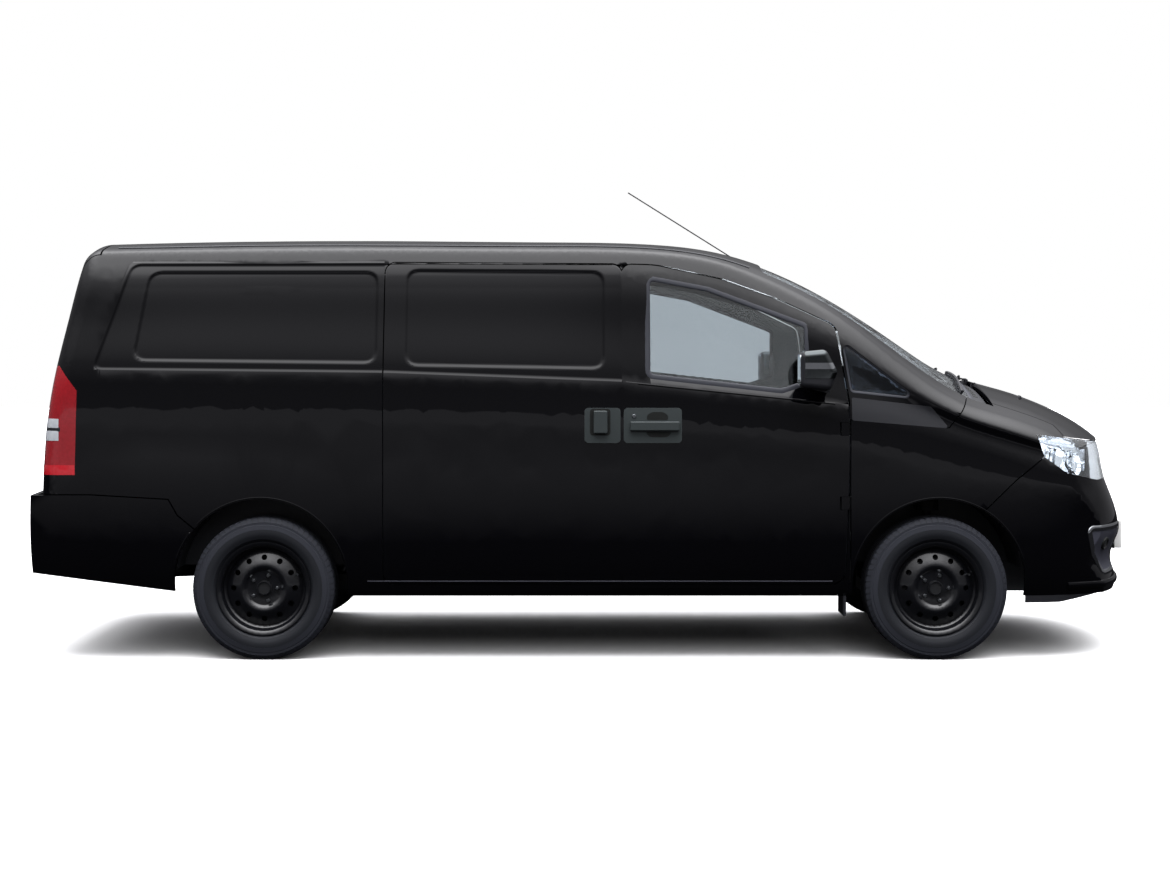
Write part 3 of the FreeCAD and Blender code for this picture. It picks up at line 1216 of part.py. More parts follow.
hinge_parts += [part.mirror(Vector(), flip) for part in hinge_parts]
feature("hinges", Part.makeCompound(hinge_parts + tail_ears))

# Mirrors and handles
head = doc.addObject("PartDesign::Body", "mirror_head")
head_outline = outline(head, "mirror_outline", [
    ("mirror_x", "mirror_z + 14"),
    ("mirror_x", "mirror_z + mirror_height - 10"),
    ("mirror_x + mirror_length - 50", "mirror_z + mirror_height"),
    ("mirror_x + mirror_length", "mirror_z + mirror_height / 2 - 6"),
    ("mirror_x + mirror_length - 30", "mirror_z"),
], "XZ_Plane")
head_pad = head.newObject("PartDesign::Pad", "mirror_pad")
head_pad.Profile = head_outline
head_pad.setExpression("Length", sized("mirror_width"))
doc.recompute()
head_round = head.newObject("PartDesign::Fillet", "mirror_round")
head_round.Base = (head_pad, ["Edge%d" % (i + 1) for i in range(len(head_pad.Shape.Edges))])
head_round.setExpression("Radius", sized("mirror_round"))
doc.recompute()
placed(head, "0", "-mirror_y", "0")
skin_y = along("belt_y", mm("mirror_x")) - mm("band_depth")
foot = side_prism([
    (mm("mirror_x") + 60, mm("mirror_z") + 8),
    (mm("mirror_x") + 60, mm("mirror_z") + 60),
    (mm("mirror_x") + mm("mirror_length") - 20, mm("mirror_z") + 50),
    (mm("mirror_x") + mm("mirror_length") - 20, mm("mirror_z") - 12),
], 10, 0, -mm("mirror_y") - 30, -mm("roof_half")).cut(skin(mm("band_depth")))
doc.recompute()
mirror_shape = head.Shape.fuse(foot).removeSplitter()
mirror_right = feature("mirror_right", solids(mirror_shape))
mirrored(mirror_right, "mirror_left")


def handle_plate(x_from, x_to):
    """Plastic plate that lies on the skin around a handle."""
    corners = [
        (x_from, mm("plate_low_z")),
        (x_from, mm("plate_high_z")),
        (x_to, mm("plate_high_z")),
        (x_to, mm("plate_low_z")),
    ]
    plate = side_prism(corners, mm("plate_corner"), 0, -FAR, -mm("hinge_y") + 20)
    return plate.common(skin(-mm("plate_proud"))).cut(plain_skin)


plate = handle_plate(mm("plate_x"), mm("plate_end_x"))
grip_y = (-mm("handle_y"), -mm("handle_y") + mm("handle_wall"))
foot_y = (-mm("handle_y") + mm("handle_foot_in"), -mm("hinge_y"))
grip_z = (mm("handle_low_z"), mm("handle_high_z"))
foot_z = (grip_z[0] + mm("handle_foot_end"), grip_z[1] - mm("handle_foot_end"))
grip = block((mm("handle_x"), mm("handle_end_x")), grip_y, grip_z)
grip = grip.makeFillet(mm("handle_round"), grip.Edges)
rear_foot = mm("handle_x") + mm("handle_foot_end")
front_foot = mm("handle_end_x") - mm("handle_foot_end") - mm("handle_foot")
for x in (rear_foot, front_foot):
    grip = grip.fuse(block((x, x + mm("handle_foot")), foot_y, foot_z).cut(plain_skin))
front_handle = feature("door_handle_right", solids(plate.fuse(grip).removeSplitter()))
mirrored(front_handle, "door_handle_left")
plate = handle_plate(mm("slide_plate_x"), mm("slide_plate_end_x"))
middle_x = (mm("slide_plate_x") + mm("slide_plate_end_x")) / 2
grip_x = (middle_x - mm("slide_grip_back"), middle_x + mm("slide_grip_front"))
grip_z = (mm("plate_low_z") + mm("slide_grip_low"), mm("plate_high_z") - mm("slide_grip_high"))
grip = block(grip_x, grip_y, grip_z)
grip = grip.makeFillet(mm("handle_round"), grip.Edges)
foot_x = (grip_x[0] + mm("handle_round"), grip_x[1] - mm("handle_round"))
low_foot = grip_z[0] + mm("handle_foot_end")
high_foot = grip_z[1] - mm("handle_foot_end") - mm("slide_foot")
for z in (low_foot, high_foot):
    grip = grip.fuse(block(foot_x, foot_y, (z, z + mm("slide_foot"))).cut(plain_skin))
feature("sliding_door_handles", both(plate.fuse(grip).removeSplitter()))

# Cab
dash_line = [
    (mm("dash_x"), mm("dash_z") - mm("dash_lip")),
    (mm("dash_x") + mm("dash_top"), mm("dash_z")),
    (mm("firewall_x"), mm("dash_z")),
    (mm("firewall_x"), mm("dash_z") - mm("dash_depth")),
    (mm("dash_x") + mm("dash_knee_x"), mm("dash_z") - mm("dash_depth")),
    (mm("dash_x") + 10, mm("dash_z") - mm("dash_knee_z")),
]
dash_round = [mm("dash_edge"), mm("dash_round"), 0, 0, mm("dash_round"), mm("dash_round")]
dashboard = side_prism(dash_line, dash_round, 0, -FAR, FAR).common(cab_inside)
partition_at = (mm("partition_x"), mm("partition_x") + mm("partition_wall"))
feature("partition", solids(block(partition_at, all_y, (mm("cab_floor_z"), HIGH)).common(inner)))

# Steering wheel and column
lean = math.radians(mm("column_lean"))
hub_at = Vector(mm("wheel_rim_x"), mm("wheel_rim_y"), mm("wheel_rim_z"))
column_way = Vector(math.cos(lean), 0, -math.sin(lean))
ring = Part.makeTorus(mm("wheel_rim_radius"), mm("wheel_grip"), hub_at, column_way)
boss = Part.makeCylinder(mm("boss_radius"), mm("boss_length"), hub_at - column_way * 5, column_way)
across = Vector(0, 1, 0)
upwards = column_way.cross(across)
steering = ring.fuse(boss)
for way in (across, across * -1, upwards * (1 if upwards.z < 0 else -1)):
    spoke_start = hub_at + way * (mm("boss_radius") - 10) + column_way * 6
    spoke_length = mm("wheel_rim_radius") - mm("boss_radius") + 10
    spoke = Part.makeCylinder(mm("spoke_radius"), spoke_length, spoke_start, way)
    steering = steering.fuse(spoke)
feature("steering_wheel", solids(steering.removeSplitter()))
column_start = hub_at + column_way * (mm("boss_length") - 5 + mm("hub_fit"))
column = Part.makeCylinder(mm("column_radius"), mm("column_length"), column_start, column_way)
column = column.common(block((0, mm("dash_x") + mm("dash_top")), all_y, (0, HIGH)))
feature("dashboard", solids(dashboard.fuse(column).removeSplitter()))

# Seats: a pedestal, a cushion and a back with its head restraint on each side
pedestals = []
cushions = []
backs = []
half = mm("seat_width") / 2
stem_low = mm("back_height") - mm("stem_sunk")
rest_z = (mm("back_height") + mm("rest_rise"), mm("back_height") + mm("rest_height"))
rest_x = (-mm("back_wall") + mm("rest_round"), -mm("rest_front"))
pedestal_x = (mm("seat_x") - mm("pedestal_rear"), mm("seat_x") + mm("seat_length") - mm("pedestal_front"))
cushion_x = (mm("seat_x") - mm("cushion_rear"), mm("seat_x") + mm("seat_length"))
for y in (-mm("seat_y"), mm("seat_y")):
    pedestal_y = (y - half + mm("pedestal_rim"), y + half - mm("pedestal_rim"))
    pedestals.append(block(pedestal_x, pedestal_y, (mm("cab_floor_z"), mm("seat_z") - mm("seal"))))
    pad = block(cushion_x, (y - half, y + half), (mm("seat_z"), mm("seat_z") + mm("cushion")))
    cushions.append(pad.makeFillet(mm("cushion_round"), pad.Edges))
    back_y = (y - half + mm("back_side"), y + half - mm("back_side"))
    back = block((-mm("back_wall"), 0), back_y, (0, mm("back_height")))
    back = back.makeFillet(mm("back_round"), back.Edges)
    rest = block(rest_x, (y - mm("rest_width") / 2, y + mm("rest_width") / 2), rest_z)
    rest = rest.makeFillet(mm("rest_round"), rest.Edges)
    stems = []
    for stem_y in (y - mm("stem_y"), y + mm("stem_y")):
        stem_foot = Vector(-mm("back_wall") / 2, stem_y, stem_low)
        stems.append(Part.makeCylinder(mm("stem_radius"), mm("stem_length"), stem_foot))
    upright = back.fuse([rest] + stems)
    upright.rotate(Vector(), Vector(0, 1, 0), -mm("back_lean"))
    upright.translate(Vector(mm("seat_x") - mm("seat_joint"), 0, mm("seat_z") + mm("seat_drop")))
    backs.append(upright.Solids[0])
feature("seat_frames", Part.makeCompound(pedestals))
feature("seat_cushions", Part.makeCompound(cushions))
feature("seat_backs", Part.makeCompound(backs))

# Wheels
rim = turned("rim_front_right", [
    ("rim_radius", "-rim_width / 2"),
    ("rim_radius", "-rim_width / 2 + rim_wall"),
    ("seat_radius + rim_wall", "-rim_width / 2 + rim_wall + 3"),
    ("seat_radius", "-rim_width / 2 + rim_wall + 6"),
    ("seat_radius", "-rim_width / 2 + 34"),
    ("well_radius", "-rim_width / 2 + 44"),
    ("well_radius", "rim_width / 2 - 44"),
    ("seat_radius", "rim_width / 2 - 34"),
    ("seat_radius", "rim_width / 2 - rim_wall - 6"),
    ("seat_radius + rim_wall", "rim_width / 2 - rim_wall - 3"),
    ("rim_radius", "rim_width / 2 - rim_wall"),
    ("rim_radius", "rim_width / 2"),
    ("rim_radius - 7", "rim_width / 2"),
    ("seat_radius - rim_wall", "rim_width / 2 - rim_wall - 5"),
    ("seat_radius - rim_wall", "rim_width / 2 - 36"),
    ("well_radius - rim_wall", "rim_width / 2 - 46"),
    ("well_radius - rim_wall", "-disc_inset + 20"),
    ("vent_circle + 22", "-disc_inset + 10"),
    ("nose_radius + 18", "-disc_inset - 8"),
    ("nose_radius + 4", "-disc_inset - 13"),
    ("nose_radius - 8", "-disc_inset - 11"),
    ("hub_radius + 4", "-disc_inset"),
    ("hub_hole_radius", "-disc_inset"),
    ("hub_hole_radius", "-disc_inset - disc_wall"),
    ("hub_radius + 2", "-disc_inset - disc_wall"),
    ("nose_radius - 10", "-disc_inset - disc_wall - 11"),
    ("nose_radius + 2", "-disc_inset - disc_wall - 14"),
    ("nose_radius + 16", "-disc_inset - disc_wall - 10"),
    ("vent_circle + 22", "-disc_inset + 10 - disc_wall"),
    ("well_radius - rim_wall", "-disc_inset + 16 - disc_wall"),
    ("well_radius - rim_wall", "-rim_width / 2 + 46"),
    ("seat_radius - rim_wall", "-rim_width / 2 + 36"),
    ("seat_radius - rim_wall", "-rim_width / 2 + rim_wall + 5"),
    ("rim_radius - 7", "-rim_width / 2"),
])
doc.recompute()
vent_sketch = rim.newObject("Sketcher::SketchObject", "vent_sketch")
vent_plane = next(f for f in rim.Origin.OriginFeatures if f.Role == "XZ_Plane")
vent_sketch.AttachmentSupport = [(vent_plane, "")]
vent_sketch.MapMode = "FlatFace"
vent_sketch.addGeometry(Part.Circle(Vector(mm("vent_circle"), 0, 0), Vector(0, 0, 1), mm("vent_radius")), False)
vent_sketch.addConstraint(Sketcher.Constraint("PointOnObject", 0, 3, -1))
at = vent_sketch.addConstraint(Sketcher.Constraint("DistanceX", -1, 1, 0, 3, mm("vent_circle")))
vent_sketch.renameConstraint(at, "circle")
vent_sketch.setExpression("Constraints.circle", sized("vent_circle"))
at = vent_sketch.addConstraint(Sketcher.Constraint("Radius", 0, mm("vent_radius")))
vent_sketch.renameConstraint(at, "hole")
vent_sketch.setExpression("Constraints.hole", sized("vent_radius"))
vent = rim.newObject("PartDesign::Pocket", "vent")
vent.Profile = vent_sketch
vent.Type = 1
vent.Midplane = True
doc.recompute()
vents = rim.newObject("PartDesign::PolarPattern", "vents")
vents.Originals = [vent]
vents.Axis = (next(f for f in rim.Origin.OriginFeatures if f.Role == "Y_Axis"), [""])
vents.Angle = 360
vents.setExpression("Occurrences", sized("vent_count"))
rim.Tip = vents

tyre = turned("tyre_front_right", [
    ("seat_radius + bead_gap", "-rim_width / 2 + rim_wall + 8"),
    ("seat_radius + rim_wall + bead_gap", "-rim_width / 2 + rim_wall + 3.5"),
    ("rim_radius + bead_gap", "-rim_width / 2 + rim_wall + 0.4"),
    ("rim_radius + 7", "-rim_width / 2 - 6"),
    ("rim_radius + 38", "-tyre_width / 2"),
    ("tyre_radius - 27", "-tyre_width / 2 + 5"),
    ("tyre_radius - 6", "-tread_width / 2 + 2"),
    ("tyre_radius", "-tread_width / 2 + 22"),
    ("tyre_radius", "tread_width / 2 - 22"),
    ("tyre_radius - 6", "tread_width / 2 - 2"),
    ("tyre_radius - 27", "tyre_width / 2 - 5"),
    ("rim_radius + 38", "tyre_width / 2"),
    ("rim_radius + 7", "rim_width / 2 + 6"),
    ("rim_radius + bead_gap", "rim_width / 2 - rim_wall - 0.4"),
    ("seat_radius + rim_wall + bead_gap", "rim_width / 2 - rim_wall - 3.5"),
    ("seat_radius + bead_gap", "rim_width / 2 - rim_wall - 8"),
])
doc.recompute()
for piece in (rim, tyre):
    placed(piece, "front_axle_x", "-wheel_y", "tyre_radius")
    kind = piece.Label.split("_")[0]
    node(piece, piece.Label)
    rear = copied(piece, kind + "_rear_right", "rear_axle_x", "-wheel_y", "tyre_radius")
    doc.recompute()
    mirrored(piece, kind + "_front_left")
    mirrored(rear, kind + "_rear_left")
spare_parts = []
spare_z = mm("floor_z") - mm("floor_wall") - mm("tyre_width") / 2 - mm("seal")
for piece in (rim, tyre):
    shape = piece.Shape.copy()
    shape.Placement = Placement(Vector(mm("spare_x"), 0, spare_z), Rotation(Vector(1, 0, 0), 90))
    spare_parts.append(shape)
feature("spare_wheel", Part.makeCompound(spare_parts))

# Front hubs with their steering knuckles
hub = turned("hub_front", [
    ("0", "-disc_inset - spigot_length"),
    ("hub_hole_radius - spigot_gap", "-disc_inset - spigot_length"),
    ("hub_hole_radius - spigot_gap", "-disc_inset + hub_fit"),
    ("hub_radius", "-disc_inset + hub_fit"),
    ("hub_radius", "-disc_inset + hub_fit + 10"),
    ("hub_radius - 20", "-disc_inset + hub_fit + 10"),
    ("hub_radius - 20", "-disc_inset + hub_fit + 15"),
    ("brake_radius", "-disc_inset + hub_fit + 15"),
    ("brake_radius", "-disc_inset + hub_fit + 37"),
    ("hub_radius - 25", "-disc_inset + hub_fit + 37"),
    ("hub_radius - 25", "wheel_y - kingpin_y"),
    ("0", "wheel_y - kingpin_y"),
])
placed(hub, "front_axle_x", "-wheel_y", "tyre_radius")
post = bar("post", "Z", "post_radius", "2 * post_reach", "front_axle_x", "-kingpin_y", "tyre_radius - post_reach")
caliper_x = ("front_axle_x - brake_radius - caliper_out", "front_axle_x - brake_radius + caliper_in")
caliper_y = ("-wheel_y - caliper_front", "-wheel_y + caliper_back")
caliper_z = ("tyre_radius - caliper_half", "tyre_radius + caliper_half")
caliper = box("caliper", caliper_x, caliper_y, caliper_z)
caliper_arm_x = ("front_axle_x - brake_radius + 5", "front_axle_x")
caliper_arm_y = ("-wheel_y + caliper_back - caliper_arm", "-wheel_y + caliper_back")
caliper_arm_z = ("tyre_radius - 30", "tyre_radius + 30")
arm = box("caliper_arm", caliper_arm_x, caliper_arm_y, caliper_arm_z)
knuckle = node(joined("knuckle_right", [hub, post, caliper, arm]), "knuckle_right")
doc.recompute()
mirrored(knuckle, "knuckle_left")

# Front suspension: subframe, arms, struts and steering rack
subframe_x = ("front_axle_x - subframe_back", "front_axle_x + subframe_front")
subframe_tall = ("subframe_z", "subframe_z + subframe_wall")
subframe = box("subframe", subframe_x, ("-subframe_half", "subframe_half"), subframe_tall)
arm_top = "tyre_radius - post_reach - hub_fit"
struts = []
for word, sign in (("right", "-"), ("left", "")):
    low = "-kingpin_y" if sign else "subframe_half - 20"
    high = "-subframe_half + 20" if sign else "kingpin_y"
    wish_x = ("front_axle_x - arm_half", "front_axle_x + arm_half")
    wish = box("arm_" + word, wish_x, (low, high), (arm_top + " - arm_wall", arm_top))
    ball_y = sign + "kingpin_y"
    ball = bar("ball_" + word, "Z", "post_radius + 4", "arm_wall", "front_axle_x", ball_y, arm_top + " - arm_wall")
    struts.append([wish, ball])
posts = []
rail_bottom = "floor_z - floor_wall - rail_depth"
for x in ("front_axle_x - subframe_back", "front_axle_x + subframe_front - subframe_post"):
    for low, high in (("-subframe_half", "-front_rail_y"), ("front_rail_y", "subframe_half")):
        post_at = (x, x + " + subframe_post")
        posts.append(box("subframe_post%d" % len(posts), post_at, (low, high), ("subframe_z", rail_bottom)))
lower = joined("lower_arms", [subframe] + posts + struts[0] + struts[1])
strut_top = "arch_z + sqrt((arch_radius + house_gap)^2 - (spring_radius + arch_shift)^2) - seal"
legs = []
for word, sign in (("right", "-"), ("left", "")):
    strut_at = ("front_axle_x", sign + "strut_y")
    leg_long = strut_top + " - strut_low_z"
    leg = bar("damper_" + word, "Z", "damper_radius", leg_long, *strut_at, "strut_low_z")
    coil_long = strut_top + " - spring_low_z"
    coil = bar("spring_" + word, "Z", "spring_radius", coil_long, *strut_at, "spring_low_z")
    legs.append(joined("strut_" + word, [leg, coil]))
rack_z = "subframe_z + subframe_wall + 12"
rack = bar("rack", "Y", "rack_radius", "2 * rack_half", "front_axle_x - rack_back", "-rack_half", rack_z)
doc.recompute()
node(grouped("front_suspension", [joined("subframe_and_rack", [lower, rack])] + legs), "front_suspension")

# Rear suspension: cross beam, trailing arms, drums and springs
drum = turned("drum", [
    ("0", "-disc_inset - spigot_length"),
    ("hub_hole_radius - spigot_gap", "-disc_inset - spigot_length"),
    ("hub_hole_radius - spigot_gap", "-disc_inset + hub_fit"),
    ("hub_radius", "-disc_inset + hub_fit"),
    ("hub_radius", "-disc_inset + hub_fit + 10"),
    ("brake_radius - 8", "-disc_inset + hub_fit + 15"),
    ("brake_radius - 8", "-disc_inset + hub_fit + 60"),
    ("hub_radius - 20", "-disc_inset + hub_fit + 64"),
    ("hub_radius - 20", "wheel_y - trail_y"),
    ("0", "wheel_y - trail_y"),
])
placed(drum, "rear_axle_x", "-wheel_y", "tyre_radius")
doc.recompute()
drum_left = doc.addObject("Part::Mirroring", "drum_left")
drum_left.Source = drum
drum_left.Normal = Vector(0, 1, 0)
hanger_x = "rear_axle_x + trail_length"
carrier = [bar("cross_tube", "Y", "cross_radius", "2 * trail_y", hanger_x, "-trail_y", "tyre_radius")]
coil_long = "floor_z - floor_wall - rail_depth - tyre_radius - trail_half"
coils = []
for word, sign in (("right", "-"), ("left", "")):
    low = "-trail_y - 5" if sign else "rear_rail_y"
    high = "-rear_rail_y" if sign else "trail_y + 5"
    trail_tall = ("tyre_radius - trail_half", "tyre_radius + trail_half")
    carrier.append(box("trail_" + word, ("rear_axle_x - 60", hanger_x), (low, high), trail_tall))
    coil_at = ("rear_axle_x + coil_front", sign + "(rear_rail_y + rail_width / 2)", "tyre_radius + trail_half")
    coils.append(bar("coil_" + word, "Z", "spring_radius", coil_long, *coil_at))
    hanger_y = sign + "(rear_rail_y + rail_width / 2)"
    hanger_wide = (hanger_y + " - hanger_half", hanger_y + " + hanger_half")
    hanger_deep = (hanger_x + " - 30", hanger_x + " + 30")
    carrier.append(box("hanger_" + word, hanger_deep, hanger_wide, ("tyre_radius", rail_bottom)))
node(joined("rear_suspension", [drum, drum_left] + carrier + coils), "rear_suspension")

# Engine, tank and exhaust
engine_x = ("front_axle_x + engine_rear", "front_axle_x + engine_front")
engine_y = ("-engine_half", "engine_half")
engine = box("engine", engine_x, engine_y, ("subframe_z + subframe_wall", "engine_top_z"))
node(engine, "engine_block")
tank_y = ("-rear_rail_y + 5", "rear_rail_y - 5")
tank_tall = ("floor_z - floor_wall - tank_depth", "floor_z - floor_wall")
tank = box("fuel_tank", ("tank_x", "tank_x + tank_length"), tank_y, tank_tall)
node(tank, "fuel_tank")

# Mud flaps
flap_at = (mm("flap_x"), mm("flap_x") + mm("flap_wall"))
flap_y = (-mm("hinge_y") + mm("flap_outside"), -mm("flap_y"))
feature("mud_flaps", both(block(flap_at, flap_y, (mm("flap_low_z"), mm("body_bottom")))))

# Antenna
aerial_foot = Vector(mm("aerial_x"), 0, mm("aerial_z"))
aerial_way = Vector(-mm("aerial_back"), 0, mm("aerial_up"))
cone_size = (mm("aerial_cone"), mm("aerial_cone_tip"), mm("aerial_cone_length"))
aerial = Part.makeCone(*cone_size, aerial_foot, aerial_way)
aerial_rod = Part.makeCylinder(mm("aerial_radius"), aerial_way.Length, aerial_foot, aerial_way)
sunk_foot = aerial_foot - Vector(0, 0, mm("aerial_sunk"))
aerial_base = Part.makeCylinder(mm("aerial_foot"), mm("aerial_sunk") + 5, sunk_foot)
feature("antenna", solids(aerial.fuse([aerial_rod, aerial_base]).cut(outer)))

# Every object has to be sound before a single file is written
doc.recompute()
for obj in doc.Objects:
    if "Invalid" in obj.State or "Error" in obj.State:
        raise RuntimeError("%s is in state %s" % (obj.Label, obj.State))
for obj in nodes:
    if obj.Shape.isNull() or not obj.Shape.isValid():
        raise RuntimeError("%s has no sound shape" % obj.Label)
for obj in nodes:
    obj.Shape.exportStep("parts/%s.step" % obj.Label)
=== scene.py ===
# %% [markdown]
# A black panel van, dressed in Blender around its engineering model.
# The engineering model brings every panel, wheel and hinge at its true place.
# This lesson gives those parts their finishes and adds what a paint shop and a
# trim line add last: seals, lamp internals, tread, wheel nuts, wipers, plates.

# %% Load the frame
import json
import math

import bmesh
import bpy
import numpy as np
from mathutils import Matrix, Vector
from mathutils.bvhtree import BVHTree
from mathutils.geometry import delaunay_2d_cdt


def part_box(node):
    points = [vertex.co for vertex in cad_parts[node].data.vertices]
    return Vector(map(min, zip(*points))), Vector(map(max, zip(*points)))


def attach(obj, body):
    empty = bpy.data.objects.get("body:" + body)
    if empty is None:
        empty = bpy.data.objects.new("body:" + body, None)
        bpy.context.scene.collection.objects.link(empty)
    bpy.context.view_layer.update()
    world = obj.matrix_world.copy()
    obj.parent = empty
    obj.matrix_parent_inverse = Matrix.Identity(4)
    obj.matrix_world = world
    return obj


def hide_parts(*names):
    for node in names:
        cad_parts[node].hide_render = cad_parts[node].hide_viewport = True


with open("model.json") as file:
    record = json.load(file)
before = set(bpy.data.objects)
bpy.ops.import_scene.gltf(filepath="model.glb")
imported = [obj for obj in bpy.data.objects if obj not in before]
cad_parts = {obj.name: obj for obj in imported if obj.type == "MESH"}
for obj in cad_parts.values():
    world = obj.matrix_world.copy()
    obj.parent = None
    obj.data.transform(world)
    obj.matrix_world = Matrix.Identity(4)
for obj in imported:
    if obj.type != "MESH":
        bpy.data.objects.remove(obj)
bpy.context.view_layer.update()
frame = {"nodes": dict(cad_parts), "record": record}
nodes, record = frame["nodes"], frame["record"]
body_of = {node: body for body, members in record["behaviour"]["bodies"].items() for node in members}
slot_of = {part["node"]: part["material_slot"] for part in record["subparts"]}
print("parts in the frame:", len(nodes))

# %% [markdown]
# Colours are picked on screen, so they are written as screen hex numbers.
# Cycles counts in linear light, and one small function turns the one into the
# other. A second function adds any shader node with its settings and links, so
# each recipe below stays short enough to read at a glance.


# %% Colour and node helpers
def linear(hex_colour):
    """A screen colour such as "1A1B1F" as the linear colour a shader wants."""
    channels = [int(hex_colour[i:i + 2], 16) / 255 for i in (0, 2, 4)]
    curve = [c / 12.92 if c <= 0.04045 else ((c + 0.055) / 1.055) ** 2.4 for c in channels]
    return (*curve, 1.0)


def add(tree, kind, settings=None, inputs=None):
    """Adds one node: its own settings first, then its inputs as values or links."""
    made = tree.nodes.new(kind)
    for name, value in (settings or {}).items():
        setattr(made, name, value)
    for key, value in (inputs or {}).items():
        socket = made.inputs[key]
        if isinstance(value, bpy.types.NodeSocket):
            tree.links.new(value, socket)
        else:
            socket.default_value = value
    return made


def blend(tree, factor, low, high):
    """A colour between two; factor and colours may be values or links."""
    return add(tree, "ShaderNodeMix", {"data_type": "RGBA"}, {0: factor, 6: low, 7: high}).outputs[2]


def straight_rays(tree):
    """1 for a ray from the camera or through glass, 0 for any other."""
    paths = add(tree, "ShaderNodeLightPath").outputs
    either = {0: paths["Is Camera Ray"], 1: paths["Is Transmission Ray"]}
    return add(tree, "ShaderNodeMath", {"operation": "MAXIMUM"}, either).outputs["Value"]


# %% [markdown]
# A finish is one Principled shader with its constants on its own sockets, and a
# noise of a real size in millimetres. The noise bumps the surface and lets its
# colour drift a little. Each finish also knows the slot its pieces belong to.

# %% A finish with its grain
slot_for = {}


def finish_of(name, slot, colour, roughness, grain=None, colours=None, **sockets):
    """A material; `grain` is (width, depth) in mm, `colours` the two it drifts between."""
    material = bpy.data.materials.new(name)
    material.use_nodes = True
    tree = material.node_tree
    shader = tree.nodes["Principled BSDF"].inputs
    shader["Base Color"].default_value = linear(colour)
    shader["Roughness"].default_value = roughness
    for socket, value in sockets.items():
        shader[socket.replace("_", " ")].default_value = value
    slot_for[name] = slot
    if not grain:
        return material
    width, depth = grain
    place = add(tree, "ShaderNodeTexCoord").outputs["Object"]
    texture = {"Vector": place, "Scale": 1000 / width, "Detail": 2.0}
    noise = add(tree, "ShaderNodeTexNoise", None, texture).outputs["Fac"]
    if depth:
        bump = add(tree, "ShaderNodeBump", None, {"Strength": 1.0, "Distance": depth / 1000, "Height": noise})
        tree.links.new(bump.outputs["Normal"], shader["Normal"])
    if colours:
        tree.links.new(blend(tree, noise, *map(linear, colours)), shader["Base Color"])
    return material


# %% [markdown]
# The body is solid black enamel under clear lacquer, sprayed and baked. The eye
# sees almost no colour of its own, only the room mirrored in the lacquer, so the
# coat is nearly smooth. The ripple that spraying leaves, the orange peel, is
# about 8 mm across and a few microns deep.

# %% Body enamel
enamel = finish_of("BlackBakedEnamel", "body_paint", "050507", 0.5, (8.0, 0.004), ("040406", "07070A"),
                   Specular_IOR_Level=0.0, Coat_Weight=1.0, Coat_Roughness=0.03, Coat_IOR=1.42)
tree = enamel.node_tree
tree.links.new(tree.nodes["Bump"].outputs["Normal"], tree.nodes["Principled BSDF"].inputs["Coat Normal"])
print("nodes in the enamel:", len(tree.nodes))

# %% [markdown]
# Tyres are carbon-filled rubber: never quite black, matt, with a fine skin from
# the mould. The rims are pressed steel in stove enamel, glossier than they look,
# because only their edges catch the light.

# %% Rubber and painted steel
rubber = finish_of("TyreRubber", "tyre", "191B20", 0.6, (3.0, 0.12), ("14161B", "1F2127"), Specular_IOR_Level=0.45)
# A lighter rubber for the shoulder blocks and a band round the upper sidewall: painted sheen.
sheen_painted_rubber = finish_of("TyreRubberPaintedSheen", "tyre", "292B33", 0.7, (4.0, 0.15), ("24262D", "2F3139"),
                            Specular_IOR_Level=0.4)
seal_rubber = finish_of("SealRubber", "black_plastic", "2B2D34", 0.5, (2.0, 0.03), ("272930", "30323A"))
rim_enamel = finish_of("BlackStoveEnamel", "wheel_steel", "0A0B0F", 0.3, (5.0, 0.02), ("08090C", "0F1015"),
                       Coat_Weight=1.0, Coat_Roughness=0.08)
chassis_paint = finish_of("ChassisWaxPaint", "chassis_steel", "121316", 0.65, (4.0, 0.3), ("0D0E10", "1A1B1E"))
cast_metal = finish_of("CastAluminium", "cast_metal", "8A8D90", 0.45, (1.6, 0.15), ("7B7E81", "999C9F"), Metallic=1.0)
zinc = finish_of("ZincPlatedSteel", "chrome_trim", "8E9296", 0.3, (1.2, 0.05), ("7F8387", "9DA1A5"), Metallic=1.0)

# %% [markdown]
# The grained black trim is injection-moulded polypropylene. Its leather-like
# grain is about 1.2 mm across, drawn a little coarser here so that it shows. The
# door handles are glass-filled nylon in an unpainted grey green.

# %% Moulded plastics
black_trim = finish_of("GrainedBlackPolypropylene", "black_plastic", "1B1C20", 0.5, (1.6, 0.08), ("17181C", "222328"))
# Grey trim for the fog lamp panels; the same grey paints the highlight on the sill bead.
grey_trim_and_highlight = finish_of("GreyTrimAndPaintedHighlight", "black_plastic", "3E3F49", 0.42, (2.0, 0.04), ("3A3B45", "44454F"))
nylon = finish_of("GreyGreenNylon", "grey_plastic", "33393A", 0.5, (1.5, 0.06), ("2E3435", "3A4041"))
# Near-black nylon for the fog lamp ring; the same colour is painted shade in the handle hollows and cowl slots.
black_nylon_and_painted_shade = finish_of("BlackNylonAndPaintedShade", "black_plastic", "0C0F0D", 0.6, (2.0, 0.05), ("090B0A", "121513"))

# %% [markdown]
# Car glass is green-grey laminated or toughened sheet. Two panes stand between
# the camera and the bright backdrop, so each pane takes off only part of the
# light. The lamp covers are clear polycarbonate, the tail lamps red acrylic.

